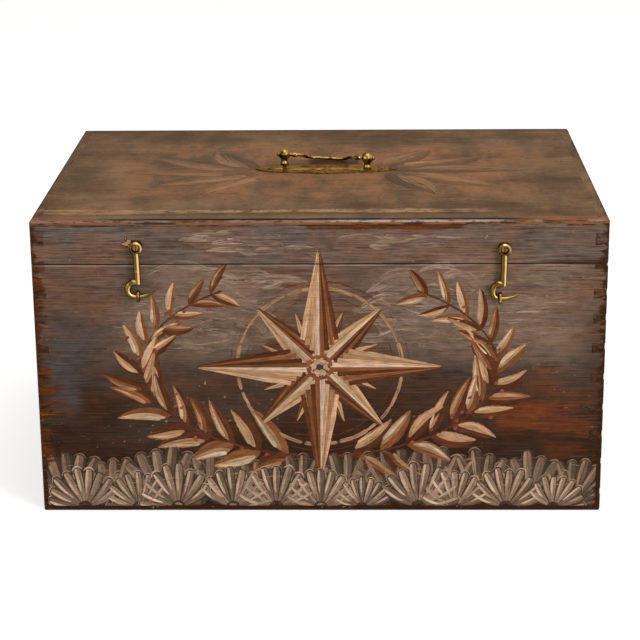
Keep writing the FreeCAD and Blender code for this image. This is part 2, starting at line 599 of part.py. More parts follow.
def handle_plate():
    """A thin cast plate with pointed ends and lobes round the posts."""
    owner = body("plate_casting", ("{handle_x}", "{handle_y}", "{chest_height}"))
    half_length, half_width = size("plate_length") / 2, size("plate_width") / 2

    def point(share, x_sign, y_sign):
        return x_sign * share[0] * half_length, y_sign * share[1] * half_width

    def outward(x_sign, y_sign):
        return [[point(middle, x_sign, y_sign), point(end, x_sign, y_sign)]
                for middle, end in PLATE_ARC_SHARES]

    def inward(x_sign, y_sign):
        ends = [(1.0, 0.0)] + [end for middle, end in PLATE_ARC_SHARES]
        arcs = [[point(middle, x_sign, y_sign), point(ends[index], x_sign, y_sign)]
                for index, (middle, end) in enumerate(PLATE_ARC_SHARES)]
        return arcs[::-1]

    lobe = PLATE_ARC_SHARES[-1][1]
    outline = sketch(owner, "plate_outline", "XY_Plane")
    trace(outline, point((1.0, 0.0), 1, 1),
          *outward(1, 1), [(0, half_width), point(lobe, -1, 1)], *inward(-1, 1),
          *outward(-1, -1), [(0, -half_width), point(lobe, 1, -1)], *inward(1, -1))
    pad(owner, outline, "{plate_thickness}")
    return keep(cut("handle_plate", owner, *posts, handle_plate_pins))


plate = handle_plate()


def handle_nuts():
    """A six-sided nut on each stem, tight under the top panel."""
    members = []
    for hand in ("-", "+"):
        nut = doc.addObject("Part::Prism", f"handle_nut_{len(members)}")
        nut.Polygon = 6
        tie(nut, ("Circumradius", "Height"), ("{nut_radius}", "{nut_height}"))
        tie(nut, BASE, (f"{{handle_x}} {hand} {{post_spacing}} / 2", "{handle_y}",
                        "{chest_height} - {panel_thickness} - {nut_height}"))
        members.append(nut)
    return keep(cut("handle_nuts", fuse("handle_nut_blanks", *members), *posts))


nuts = handle_nuts()

# The finished boards: the glued-up boards, sawn apart at the seam and cut for what is let in or driven.
rabbet = box("panel_rabbet", (f"-{HALF_WIDTH} + {{rail_lip}}", f"-{HALF_DEPTH} + {{rail_lip}}",
                              "{chest_height} - {panel_thickness}"),
             ("{chest_width} - 2 * {rail_lip}", "{chest_depth} - 2 * {rail_lip}",
              "{panel_thickness} + {overrun}"))
panel_margin = "({rail_lip} + {panel_gap})"
panel = box("top_panel", (f"-{HALF_WIDTH} + {{rail_lip}}", f"-{HALF_DEPTH} + {panel_margin}",
                          "{chest_height} - {panel_thickness}"),
            ("{chest_width} - 2 * {rail_lip}", f"{{chest_depth}} - 2 * {panel_margin}", "{panel_thickness}"))
floor = box("bottom_plank",
            (f"-{HALF_WIDTH} + {{board_thickness}}", f"-{HALF_DEPTH} + {{board_thickness}}", "0"),
            ("{chest_width} - 2 * {board_thickness}", "{chest_depth} - 2 * {board_thickness}",
             "{bottom_thickness}"))


def sawn(name, board, side_of_seam, *fittings):
    """A board's case or lid half, with the sockets of its fittings."""
    blank = common(name + "_blank", board, case_half if side_of_seam == "case" else lid_half)
    return keep(cut(name, blank, *fittings))


sawn("case_front", front_board, "case", bottom_brads, *screw_eyes)
sawn("case_back", back_board, "case", bottom_brads, hinge_case_screws, *case_leaves)
sawn("case_left_end", left_end_board, "case", bottom_brads)
sawn("case_right_end", right_end_board, "case", bottom_brads)
keep(cut("case_bottom", floor, bottom_brads))
sawn("lid_front", front_board, "lid", rabbet, top_brads, hook_screws)
sawn("lid_back", back_board, "lid", rabbet, top_brads, hinge_lid_screws, *lid_leaves)
sawn("lid_left_end", left_end_board, "lid", rabbet, top_brads)
sawn("lid_right_end", right_end_board, "lid", rabbet, top_brads)
keep(cut("lid_top", panel, top_brads, *posts, handle_plate_pins))

doc.recompute()

# Nothing is written unless every object came out sound.
for item in doc.Objects:
    if "Invalid" in item.State or "Error" in item.State:
        raise RuntimeError(f"{item.Name} did not rebuild: {item.State}")
os.makedirs("parts", exist_ok=True)
for item in nodes:
    if item.Shape.isNull() or not item.Shape.isValid():
        raise RuntimeError(f"{item.Label} has no sound shape")
for item in nodes:
    item.Shape.exportStep(os.path.join("parts", item.Label + ".step"))
    print(f"{item.Label}: {len(item.Shape.Solids)} solids, {item.Shape.Volume:.1f} mm3")
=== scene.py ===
# %% [markdown]
# # A painted sea chest
# The chest is a dovetailed pine box, sawn open to make its lid, painted slate brown and worn at every edge.
# Its construction comes from the imported CAD model. This lesson dresses that model: it eases the boards'
# edges, gives every surface a procedural finish, and paints a design on the front and the top with modelled
# brush strokes. First the frame is loaded, and the sizes of the box are read from it.

# %% Load the frame
import bmesh
import bpy
import json
import math
import random
from types import SimpleNamespace
from mathutils import Matrix, Vector


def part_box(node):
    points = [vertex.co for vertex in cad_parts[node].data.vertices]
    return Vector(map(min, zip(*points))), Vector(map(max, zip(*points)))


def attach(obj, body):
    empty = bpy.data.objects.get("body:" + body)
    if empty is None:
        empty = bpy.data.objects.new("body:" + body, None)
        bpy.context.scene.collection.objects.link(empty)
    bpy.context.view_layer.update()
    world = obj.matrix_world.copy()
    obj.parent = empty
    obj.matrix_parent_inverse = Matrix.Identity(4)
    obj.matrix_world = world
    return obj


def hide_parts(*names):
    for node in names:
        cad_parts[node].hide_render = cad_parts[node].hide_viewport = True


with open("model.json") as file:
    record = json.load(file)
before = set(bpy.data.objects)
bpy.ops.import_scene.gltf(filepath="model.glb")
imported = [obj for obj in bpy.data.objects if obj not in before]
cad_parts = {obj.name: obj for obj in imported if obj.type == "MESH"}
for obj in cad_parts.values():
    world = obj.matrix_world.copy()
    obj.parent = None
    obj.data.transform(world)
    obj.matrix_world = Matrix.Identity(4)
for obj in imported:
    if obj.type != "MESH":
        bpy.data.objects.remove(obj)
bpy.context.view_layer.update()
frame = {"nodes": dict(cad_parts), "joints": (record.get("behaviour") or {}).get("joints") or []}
case_low, case_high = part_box("case_front")
HALF_WIDTH = case_high.x
HALF_DEPTH = -case_low.y
SEAM = case_high.z
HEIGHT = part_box("lid_front")[1].z

# %% [markdown]
# The camera stands about two metres in front of the chest, a little right of its middle, and looks down on
# it. Its place, turn and lens follow from the straight edges of the box in the photograph. The three
# directions of the camera are worked out from yaw, pitch and roll, because that says more than a matrix of
# numbers.

# %% Camera
IMAGE_WIDTH = 640
SENSOR_WIDTH = 36
FOCAL_PIXELS = 1990.3
CAMERA_PLACE = Vector((0.0458, -2.2445, 0.8586))
CAMERA_YAW, CAMERA_PITCH, CAMERA_ROLL = (math.radians(turn) for turn in (-1.281, 17.598, -0.512))
ahead = Vector((math.sin(CAMERA_YAW) * math.cos(CAMERA_PITCH),
                math.cos(CAMERA_YAW) * math.cos(CAMERA_PITCH), -math.sin(CAMERA_PITCH)))
level = Vector((math.cos(CAMERA_YAW), -math.sin(CAMERA_YAW), 0))
upright = level.cross(ahead)
right = level * math.cos(CAMERA_ROLL) + upright * math.sin(CAMERA_ROLL)
up = upright * math.cos(CAMERA_ROLL) - level * math.sin(CAMERA_ROLL)
camera_data = bpy.data.cameras.new("camera")
camera_data.sensor_width = SENSOR_WIDTH
camera_data.lens = FOCAL_PIXELS / IMAGE_WIDTH * SENSOR_WIDTH
camera_data.clip_end = 50
camera = bpy.data.objects.new("camera", camera_data)
turned = Matrix((right, up, -ahead)).transposed().to_4x4()
camera.matrix_world = Matrix.Translation(CAMERA_PLACE) @ turned
bpy.context.scene.collection.objects.link(camera)
bpy.context.scene.camera = camera
bpy.context.scene.view_settings.view_transform = "Standard"
print("lens", round(camera_data.lens, 1), "mm")

# %% [markdown]
# Shader nodes are wired by code many times below, so a few short helpers keep those cells readable.
# `connect` links or sets one input, and `put` adds a node with all of its inputs. The others are the small
# sums that masks are made of.

# %% Node helpers
# Sockets of a Mix node that blends colours
MIX_SHARE, MIX_BELOW, MIX_ABOVE, MIX_RESULT = 0, 6, 7, 2


def connect(tree, value, socket):
    """Links a value that comes from a node, and sets one that is a number or a colour."""
    if isinstance(value, bpy.types.NodeSocket):
        tree.links.new(value, socket)
    else:
        socket.default_value = value


def put(tree, kind, inputs=None, **settings):
    """Adds a node with its settings and inputs."""
    item = tree.nodes.new("ShaderNode" + kind)
    for name, value in settings.items():
        setattr(item, name, value)
    for socket, value in (inputs or {}).items():
        connect(tree, value, item.inputs[socket])
    return item


def calc(tree, operation, *values):
    return put(tree, "Math", dict(enumerate(values)), operation=operation).outputs[0]


def fade(tree, value, start, end, low=0.0, high=1.0):
    """Runs smoothly from low to high while the value goes from start to end."""
    if start > end:
        start, end, low, high = end, start, high, low
    item = put(tree, "MapRange", {0: value, 1: start, 2: end, 3: low, 4: high},
               interpolation_type="SMOOTHSTEP")
    return item.outputs[0]


def blend_colour(tree, share, below, above, how="MIX"):
    """Lays one colour over another, by a share."""
    item = put(tree, "Mix", {MIX_SHARE: share}, data_type="RGBA", blend_type=how, clamp_factor=True)
    for socket, colour in ((MIX_BELOW, below), (MIX_ABOVE, above)):
        connect(tree, (*colour, 1) if isinstance(colour, tuple) else colour, item.inputs[socket])
    return item.outputs[MIX_RESULT]


print("node helpers ready")

# %% [markdown]
# A finish needs three things more: noise that can be drawn out along a board, a run of colours, and the
# frame of a material, with its colour, its roughness and a little bump. The noise reads the piece's own
# coordinates, so a pattern stays on its piece when that moves.

# %% Noise, tones and materials
def grain(tree, coordinates, scales, detail=4.0, roughness=0.6, shift=(0, 0, 0)):
    """Noise that is drawn out by different scales along X, Y and Z."""
    mapping = put(tree, "Mapping", {"Vector": coordinates, "Scale": scales, "Location": shift})
    texture = put(tree, "TexNoise", {"Vector": mapping.outputs[0], "Scale": 1.0, "Detail": detail,
                                     "Roughness": roughness})
    return texture.outputs[0]


def tones(tree, value, *stops):
    """A run of colours along a value."""
    item = put(tree, "ValToRGB", {0: value})
    ramp = item.color_ramp
    while len(ramp.elements) < len(stops):
        ramp.elements.new(1.0)
    for element, (position, colour) in zip(ramp.elements, stops):
        element.position = position
        element.color = (*colour, 1)
    return item.outputs[0]


def new_material(name):
    """A material, its nodes, its surface and the coordinates of the piece."""
    material = bpy.data.materials.new(name)
    material.use_nodes = True
    tree = material.node_tree
    surface = next(item for item in tree.nodes if item.type == "BSDF_PRINCIPLED")
    coordinates = put(tree, "TexCoord").outputs["Object"]
    return material, tree, surface, coordinates


def finish_surface(tree, surface, colour, roughness, height, depth, strength=1.0):
    """Gives a surface its colour, its roughness and a bump of some depth and strength."""
    connect(tree, colour, surface.inputs["Base Color"])
    connect(tree, roughness, surface.inputs["Roughness"])
    bump = put(tree, "Bump", {"Height": height, "Distance": depth, "Strength": strength})
    connect(tree, bump.outputs[0], surface.inputs["Normal"])


print("material helpers ready")

# %% [markdown]
# The studio is a pale floor in an even white surround. Both are lifted to white only for what the camera
# and reflections see. Brighter lamps could make them white too, but then the chest's colours would wash
# out. This way the lift adds no light to the chest, and the floor keeps its shadow.

# %% Studio
def seen_directly(tree):
    """One where a camera ray, a reflection or a refraction looks at the surface."""
    path = put(tree, "LightPath")
    rays = calc(tree, "ADD", path.outputs["Is Camera Ray"], path.outputs["Is Glossy Ray"])
    rays = calc(tree, "ADD", rays, path.outputs["Is Transmission Ray"])
    return calc(tree, "MINIMUM", rays, 1.0)


def made_object(name, shape):
    """Turns a bmesh into an object in the scene."""
    mesh = bpy.data.meshes.new(name)
    shape.to_mesh(mesh)
    shape.free()
    item = bpy.data.objects.new(name, mesh)
    bpy.context.scene.collection.objects.link(item)
    return item


WHITE = (1, 1, 1, 1)
WORLD_LIGHT = 0.5
world = bpy.data.worlds.new("studio")
bpy.context.scene.world = world
world.use_nodes = True
sky = world.node_tree
background = next(item for item in sky.nodes if item.type == "BACKGROUND")
background.inputs["Color"].default_value = WHITE
sky.links.new(fade(sky, seen_directly(sky), 0, 1, WORLD_LIGHT, 1.0), background.inputs["Strength"])

FLOOR_SIZE = 9.0
FLOOR_COLOUR = (0.86, 0.85, 0.84, 1)
FLOOR_ROUGHNESS, FLOOR_GLOSS = 0.8, 0.1
FLOOR_LIFT = 0.52
shape = bmesh.new()
bmesh.ops.create_grid(shape, x_segments=1, y_segments=1, size=FLOOR_SIZE)
floor = made_object("floor", shape)
floor_paint, tree, surface = new_material("pale_floor")[:3]
surface.inputs["Base Color"].default_value = FLOOR_COLOUR
surface.inputs["Roughness"].default_value = FLOOR_ROUGHNESS
surface.inputs["Specular IOR Level"].default_value = FLOOR_GLOSS
surface.inputs["Emission Color"].default_value = WHITE
tree.links.new(calc(tree, "MULTIPLY", seen_directly(tree), FLOOR_LIFT), surface.inputs["Emission Strength"])
floor.data.materials.append(floor_paint)
print("floor of", 2 * FLOOR_SIZE, "m")

# %% [markdown]
# The light is soft, as in a photographer's studio: a tall key at the right in front, which draws a bright
# line down the brass, a weaker fill from the left and a soft light overhead. One sun lamp would be simpler,
# but its shadows would be hard.

# %% Lamps
def softbox(name, place, target, width, height, watts):
    """A large soft lamp that looks at a target."""
    light = bpy.data.lights.new(name, "AREA")
    light.shape = "RECTANGLE"
    light.size = width
    light.size_y = height
    light.energy = watts
    lamp = bpy.data.objects.new(name, light)
    lamp.location = place
    lamp.rotation_euler = (Vector(target) - Vector(place)).to_track_quat("-Z", "Y").to_euler()
    bpy.context.scene.collection.objects.link(lamp)


# Name, place, target, width, height and watts
softbox("key", (1.45, -1.95, 1.05), (0, 0, 0.2), 0.5, 1.9, 22)
softbox("fill", (-2.0, -1.6, 1.2), (0, 0, 0.15), 1.2, 1.4, 8)
softbox("overhead", (0.4, -0.3, 2.6), (0, 0, 0.2), 1.6, 1.6, 14)
print(len(bpy.data.lights), "lamps in the studio")

# %% [markdown]
# The boards are painted slate brown over pine. On the real box the paint is streaked along the boards by
# the brush and the grain, darker towards the ground, scumbled with a paler coat near the top of the front,
# and worn through to orange-brown wood along the edges. A painted image could hold all this, but every
# board would need its own layout. Noise that is drawn out along a board gives the same streaks on each of
# them, and the place of a point on the box says how worn it is. The colours come first.

# %% Colours of the paint
SLATE_TONES = ((0.05, (0.038, 0.017, 0.009)), (0.28, (0.044, 0.021, 0.012)), (0.48, (0.070, 0.043, 0.030)),
               (0.72, (0.132, 0.080, 0.055)), (1.0, (0.150, 0.095, 0.068)))
COOL_TINT, WARM_TINT, COOLER_LID = (0.84, 1.0, 1.14), (1.24, 0.96, 0.78), (1.00, 1.06, 1.12)
SCUMBLE, COOL_GREY, RUST = (0.260, 0.170, 0.116), (0.082, 0.070, 0.066), (0.165, 0.043, 0.013)
BARE_TONES = ((0.34, (0.014, 0.006, 0.003)), (0.46, (0.046, 0.016, 0.006)), (0.58, (0.120, 0.036, 0.010)),
              (0.70, (0.215, 0.068, 0.017)))
TOP_TONES = ((0.30, (0.110, 0.054, 0.021)), (0.5, (0.178, 0.096, 0.042)), (0.7, (0.225, 0.128, 0.062)))
TOP_PINK, TOP_DARK = (0.262, 0.110, 0.046), (0.07, 0.034, 0.013)
TOP_CREAM, TOP_TAN, LINE_SHADE = (0.420, 0.250, 0.128), (0.36, 0.180, 0.080), (0.06, 0.028, 0.012)
LIP_WHITE, LIP_GREY, LIP_ORANGE = (0.52, 0.42, 0.35), (0.300, 0.225, 0.180), (0.290, 0.100, 0.034)
LIP_BROWN, LIP_DIRT, LIP_DARK = (0.150, 0.055, 0.020), (0.050, 0.022, 0.010), (0.045, 0.020, 0.010)
FRESH_CHIP, CHIP_EDGE, PALE_SPECK = (0.56, 0.30, 0.165), (0.085, 0.030, 0.011), (0.33, 0.205, 0.13)
SAWN_EDGE, CHAFED_EDGE = (0.33, 0.225, 0.165), (0.062, 0.022, 0.009)
# The last colour is that of a painted shadow behind the handle
GRIME, HANDLE_SHADOW = (0.012, 0.007, 0.005), (0.034, 0.008, 0.0025)
print(len(SLATE_TONES), "slate tones,", len(BARE_TONES), "tones of bare wood")

# %% [markdown]
# Some wear lies at one place, where no rule about edges would put it, and so does the painted shadow
# behind the handle. Such places are soft bands: where the band starts and ends, in metres on the box, and
# how far it fades beyond. The letter at the end of a name is the direction that the band is measured in.

# %% Places on the box
PANEL_JOINT = -HALF_DEPTH + 0.0107
CREAM_LINE = -0.184
CHIP_PLACE, CHIP_SIZE = (-0.2005, 0.3040), 0.0048
LINE_X, LINE_BORDER_Y = (-0.275, 0.15, 0.06), (-0.199, -0.193, 0.003)
PINK_X, PINK_Y = (-0.16, 0.17, 0.11), (-0.09, 0.10, 0.07)
# Bands of the painted shadow behind the handle
HANDLE_SHADOW_X, HANDLE_SHADOW_FAINT_X = (-0.012, 0.038, 0.012), (-0.042, 0.0, 0.014)
HANDLE_SHADOW_Y = (0.034, 0.056, 0.010)
FLANKS_X, SCUMBLE_Z = ((-0.185, -0.10, 0.05), (0.10, 0.25, 0.05)), (0.205, 0.262, 0.05)
RUBBED_X, RUBBED_Z = (0.0, 0.14, 0.04), (0.3185, 0.3225, 0.002)
WHITE_LIP_X = (0.03, 0.16, 0.05)
NOSE_Z = (HEIGHT - 0.0024, HEIGHT - 0.0010, 0.0006)
CRACK_Z = (HEIGHT - 0.0046, HEIGHT - 0.0036, 0.0006)
# The next two are measured down from the seam
CHAFED_Z, SAWN_Z = (-0.0035, 0.0, 0.001), (0.0008, 0.0020, 0.0007)
JOINT_X, JOINT_Y = (-0.20, 0.19, 0.06), (PANEL_JOINT - 0.0035, PANEL_JOINT + 0.0025, 0.0012)
JOINT_RUST_Y = (PANEL_JOINT - 0.0035, PANEL_JOINT + 0.007, 0.003)
# Places on the front: low and high x, low and high z, softness and strength
RUSTY_PLACES = ((0.196, 0.238, 0.102, 0.128, 0.014, 0.9), (0.242, 0.286, 0.094, 0.128, 0.018, 0.6),
                (0.196, 0.250, 0.145, 0.160, 0.012, 0.4), (0.250, 0.285, 0.060, 0.080, 0.014, 0.4))
SCRAPED_PLACES = ((-0.305, -0.283, 0.138, 0.162, 0.008, 0.9), (-0.305, -0.268, 0.110, 0.127, 0.010, 1.0),
                  (-0.305, -0.284, 0.060, 0.092, 0.008, 0.7), (-0.305, -0.290, 0.225, 0.262, 0.008, 0.6))
COOL_PLACES = ((-0.284, -0.266, 0.125, 0.195, 0.018, 0.7), (-0.255, -0.225, 0.150, 0.205, 0.02, 0.35))
print(len(RUSTY_PLACES + SCRAPED_PLACES + COOL_PLACES), "places on the front")

# %% [markdown]
# Masks are made from those bands. `window` is one inside a band, `shaken` frays it with a noise, `product`
# narrows it by others, and `total` adds up masks by weight.

# %% Masks
def along(run, long_scale, cross_scale):
    """Noise scales for streaks that follow the board."""
    return (long_scale, cross_scale, cross_scale) if run == "X" else (cross_scale, long_scale, cross_scale)


def window(tree, value, low, high, soft):
    """One between low and high, fading to nought over a soft margin outside."""
    return calc(tree, "MULTIPLY", fade(tree, value, low - soft, low), fade(tree, value, high + soft, high))


def product(tree, first, *others):
    for other in others:
        first = calc(tree, "MULTIPLY", first, other)
    return first


def total(tree, *terms):
    """The sum of values, each times its weight."""
    result = 0.0
    for value, weight in terms:
        result = calc(tree, "MULTIPLY_ADD", value, weight, result)
    return result


def shaken(tree, value, noise, amount):
    """A value moved to and fro by a noise whose middle is one half."""
    return calc(tree, "MULTIPLY_ADD", calc(tree, "SUBTRACT", noise, 0.5), amount, value)


print("masks ready")

# %% [markdown]
# Three more say where a point lies. `places_mask` gathers the places on the front, `distance` serves round
# marks, and `edge_wear` measures how near a point lies to an edge, where hands and feet rub the most.

# %% Masks of the box
UPRIGHT_WEAR, LEVEL_WEAR, TOP_WEAR = 0.022, 0.0055, 0.012


def places_mask(tree, x, z, places):
    """The strongest of several soft rectangles on the front."""
    mask = None
    for left, right, low, high, soft, strength in places:
        spot = product(tree, window(tree, x, left, right, soft), window(tree, z, low, high, soft), strength)
        mask = calc(tree, "MAXIMUM", mask, spot) if mask else spot
    return mask


def distance(tree, first, second, place):
    """How far two coordinates lie from a place."""
    legs = [calc(tree, "SUBTRACT", value, middle) for value, middle in zip((first, second), place)]
    squares = [calc(tree, "MULTIPLY", leg, leg) for leg in legs]
    return calc(tree, "SQRT", calc(tree, "ADD", *squares))


def edge_wear(tree, at):
    """How rubbed a point is: widely beside the upright arrises, narrowly beside the others."""
    from_end = calc(tree, "SUBTRACT", HALF_WIDTH, calc(tree, "ABSOLUTE", at.x))
    from_side = calc(tree, "SUBTRACT", HALF_DEPTH, calc(tree, "ABSOLUTE", at.y))
    from_level = calc(tree, "MINIMUM", at.z, calc(tree, "SUBTRACT", HEIGHT, at.z))
    upright = fade(tree, calc(tree, "MAXIMUM", from_end, from_side), UPRIGHT_WEAR, 0.0)
    level = fade(tree, from_level, LEVEL_WEAR, 0.0)
    rim = fade(tree, calc(tree, "MINIMUM", from_end, from_side), TOP_WEAR, 0.0)
    walls = product(tree, calc(tree, "MAXIMUM", upright, level), calc(tree, "SUBTRACT", 1.0, at.upper))
    return calc(tree, "MAXIMUM", walls, calc(tree, "MULTIPLY", at.upper, rim))


print("masks of the box ready")

# %% [markdown]
# Every layer of the finish reads the same few noises and the same place, so these are made once and handed
# on together. Fine lines are hairs of the brush, streaks are grain that shows through, and clouds, sweeps,
# blotches and patches are uneven paint of several sizes. A noise lies about one half, mostly between 0.3
# and 0.7, and the fades below say from where to where in that spread a layer comes in.

# %% Noises of the paint
# Scale along and across the board, detail, roughness and shift
PAINT_NOISES = {"brush": (30, 900, 3.0, 0.7, (0, 0, 0)), "streak": (12, 150, 4.0, 0.62, (4, 2, 7)),
                "slivers": (15, 420, 2.0, 0.6, (8, 2, 6)), "cloud": (7, 15, 3.0, 0.55, (1, 8, 3)),
                "sweep": (9, 26, 6.0, 0.64, (2, 5, 1)), "blotch": (60, 110, 5.0, 0.7, (3, 9, 4)),
                "ragged": (26, 150, 5.0, 0.7, (9, 1, 5)), "tint": (14, 26, 4.0, 0.6, (7, 3, 9))}
PATCH_SCALES, SPECK_SCALES = (20, 9, 24), (230, 230, 280)


def paint_noises(tree, coordinates, run):
    """Where a point lies on the box, which side it is on, and the noises there."""
    x, y, z = put(tree, "SeparateXYZ", {0: coordinates}).outputs
    at = SimpleNamespace(x=x, y=y, z=z)
    for name, (long_scale, cross_scale, detail, roughness, shift) in PAINT_NOISES.items():
        scales = along(run, long_scale, cross_scale)
        setattr(at, name, grain(tree, coordinates, scales, detail, roughness, shift))
    at.patch = grain(tree, coordinates, PATCH_SCALES, 6.0, 0.66, (5, 4, 8))
    at.specks = grain(tree, coordinates, SPECK_SCALES, 2.0, 0.5, (6, 6, 2))
    at.front = fade(tree, y, -HALF_DEPTH + 0.003, -HALF_DEPTH + 0.0015)
    at.upper = fade(tree, z, HEIGHT - 0.0016, HEIGHT - 0.0008)
    return at


print(len(PAINT_NOISES) + 2, "noises")

# %% [markdown]
# The top has faded more than the walls, so it has a coat of its own. The walls' coat is built up as a
# decorator would: slate first, a pale scumble over the upper part, then what time added, cool bloom and
# rusty stains.

# %% Coats
def top_coat(tree, at):
    """Olive brown, faded to pink round the handle, darker at the back, with a worn cream line in front."""
    colour = tones(tree, at.cloud, *TOP_TONES)
    pink = product(tree, window(tree, at.x, *PINK_X), window(tree, at.y, *PINK_Y),
                   fade(tree, at.patch, 0.38, 0.58), 0.75)
    colour = blend_colour(tree, pink, colour, TOP_PINK)
    rim = calc(tree, "MAXIMUM", fade(tree, at.y, 0.15, 0.23), fade(tree, at.x, -0.23, -0.30))
    colour = blend_colour(tree, calc(tree, "MULTIPLY", rim, 0.4), colour, TOP_DARK)
    # Painted shadow of the handle, dark red-brown, on the top behind the bail
    reach = calc(tree, "MAXIMUM", window(tree, at.x, *HANDLE_SHADOW_X),
                 calc(tree, "MULTIPLY", window(tree, at.x, *HANDLE_SHADOW_FAINT_X), 0.4))
    handle_shadow = product(tree, reach, window(tree, shaken(tree, at.y, at.sweep, 0.04), *HANDLE_SHADOW_Y), 0.92)
    colour = blend_colour(tree, handle_shadow, colour, HANDLE_SHADOW)
    # The line wanders, swells and thins, and has a dark border on its front side
    wander = shaken(tree, at.y, at.cloud, 0.020)
    run_of_line = window(tree, at.x, *LINE_X)
    border = product(tree, window(tree, wander, *LINE_BORDER_Y), run_of_line, 0.3)
    colour = blend_colour(tree, border, colour, LINE_SHADE)
    swell = total(tree, (at.sweep, 0.018), (fade(tree, at.x, -0.17, -0.22, 0.0, 0.002), 1.0))
    aside = calc(tree, "ABSOLUTE", calc(tree, "SUBTRACT", wander, CREAM_LINE))
    cream = product(tree, fade(tree, calc(tree, "SUBTRACT", aside, swell), 0.0, -0.003), run_of_line,
                    fade(tree, at.blotch, 0.36, 0.54), 0.8)
    pale = blend_colour(tree, fade(tree, at.x, -0.17, -0.23), TOP_CREAM, TOP_TAN)
    return blend_colour(tree, cream, colour, pale)


def slate_coat(tree, at):
    """Slate, darker and redder below, with the scumble and the cool and rusty places on the front."""
    height = shaken(tree, calc(tree, "DIVIDE", at.z, HEIGHT), at.cloud, 0.55)
    colour = tones(tree, height, *SLATE_TONES)
    tint = tones(tree, at.tint, (0.36, COOL_TINT), (0.62, WARM_TINT))
    colour = blend_colour(tree, 0.8, colour, tint, "MULTIPLY")
    on_lid = fade(tree, at.z, SEAM - 0.01, SEAM + 0.01)
    colour = blend_colour(tree, on_lid, colour, COOLER_LID, "MULTIPLY")
    flank = calc(tree, "MAXIMUM", *(window(tree, at.x, *band) for band in FLANKS_X))
    pale = product(tree, fade(tree, at.sweep, 0.36, 0.58), window(tree, at.z, *SCUMBLE_Z), flank, at.front,
                   0.65)
    colour = blend_colour(tree, pale, colour, SCUMBLE)
    cool = product(tree, places_mask(tree, at.x, at.z, COOL_PLACES), fade(tree, at.sweep, 0.38, 0.56),
                   at.front)
    colour = blend_colour(tree, cool, colour, COOL_GREY)
    smear = total(tree, (at.streak, 0.5), (at.sweep, 0.5))
    rusty = product(tree, places_mask(tree, at.x, at.z, RUSTY_PLACES), fade(tree, smear, 0.43, 0.55),
                    at.front)
    colour = blend_colour(tree, rusty, colour, RUST)
    return blend_colour(tree, at.upper, colour, top_coat(tree, at))


print("coats ready")

# %% [markdown]
# Age comes over the coats in the order in which it happened. First come streaks and dirt, and wood rubbed
# bare at the edges.

# %% Streaks and bare wood
def grey(tree, level):
    return put(tree, "CombineColor", {0: level, 1: level, 2: level}).outputs[0]


def streaked(tree, at, colour):
    """Streaks of the brush and the grain, fine scratches, and dirty blotches on the top."""
    lines = total(tree, (at.brush, 1.2), (at.streak, 0.25))
    lines = product(tree, fade(tree, lines, 0.43, 1.02, -0.42, 0.42),
                    fade(tree, at.patch, 0.38, 0.60, 0.5, 1.1), fade(tree, at.z, 0.2, SEAM, 0.8, 1.3),
                    fade(tree, at.upper, 0, 1, 1.0, 0.36))
    spots = calc(tree, "MULTIPLY", fade(tree, at.blotch, 0.34, 0.64, -0.34, 0.26),
                 fade(tree, at.upper, 0, 1, 0.45, 0.3))
    clouds = calc(tree, "MULTIPLY", fade(tree, at.patch, 0.34, 0.64, -0.26, 0.22), at.upper)
    shade = total(tree, (lines, 1.0), (spots, 1.0), (clouds, 1.0))
    colour = blend_colour(tree, 1.0, colour, grey(tree, calc(tree, "ADD", shade, 1.0)), "MULTIPLY")
    colour = blend_colour(tree, fade(tree, at.slivers, 0.64, 0.70, 0.0, 0.20), colour, SCUMBLE)
    colour = blend_colour(tree, fade(tree, at.slivers, 0.36, 0.31, 0.0, 0.55), colour, GRIME)
    return colour, shade


def worn_through(tree, at, colour):
    """Bare wood along the edges, in scrapes at the left end and in a strip under the top arris."""
    drift = shaken(tree, at.x, at.ragged, 0.10)
    scraped = product(tree, places_mask(tree, drift, at.z, SCRAPED_PLACES), at.front,
                      fade(tree, at.slivers, 0.40, 0.54))
    uneven = shaken(tree, at.z, at.ragged, 0.012)
    wear_and_sheen = product(tree, window(tree, at.x, *RUBBED_X), window(tree, uneven, *RUBBED_Z), at.front)
    wear = total(tree, (edge_wear(tree, at), 0.36), (at.ragged, 0.75), (scraped, 0.32), (wear_and_sheen, 0.42),
                 (at.upper, -0.04))
    wear = fade(tree, wear, 0.60, 0.74)
    tone = total(tree, (at.brush, 0.35), (at.ragged, 0.6), (calc(tree, "MAXIMUM", scraped, wear_and_sheen), 0.11),
                 (fade(tree, at.x, 0.10, 0.28), -0.07))
    return blend_colour(tree, wear, colour, tones(tree, tone, *BARE_TONES)), wear


print("streaks and bare wood ready")

# %% [markdown]
# Then come the marks of use: the beaten front arris, chips, and last the dirt in the seam and in the joint
# of the top panel. They could be modelled, but they are so shallow that colour is enough.

# %% Arris, chips and joints
def front_arris(tree, at, colour):
    """The front rail's top is worn pale and brown, its arris orange, with a dark crack below."""
    rail = product(tree, at.upper, fade(tree, at.y, PANEL_JOINT + 0.001, PANEL_JOINT - 0.001), 0.85)
    wear_and_sheen = blend_colour(tree, fade(tree, at.sweep, 0.42, 0.54), LIP_BROWN, LIP_GREY)
    wear_and_sheen = blend_colour(tree, window(tree, at.x, *WHITE_LIP_X), wear_and_sheen, LIP_WHITE)
    wear_and_sheen = blend_colour(tree, fade(tree, at.blotch, 0.50, 0.42, 0.0, 0.8), wear_and_sheen, LIP_DIRT)
    colour = blend_colour(tree, rail, colour, wear_and_sheen)
    nose = product(tree, window(tree, at.z, *NOSE_Z),
                   fade(tree, at.y, -HALF_DEPTH + 0.0035, -HALF_DEPTH + 0.001), 0.9)
    worn = blend_colour(tree, fade(tree, at.ragged, 0.41, 0.50), LIP_DARK, LIP_ORANGE)
    colour = blend_colour(tree, nose, colour, worn)
    crack = product(tree, window(tree, at.z, *CRACK_Z), fade(tree, at.ragged, 0.46, 0.54), at.front, 0.75)
    return blend_colour(tree, crack, colour, GRIME)


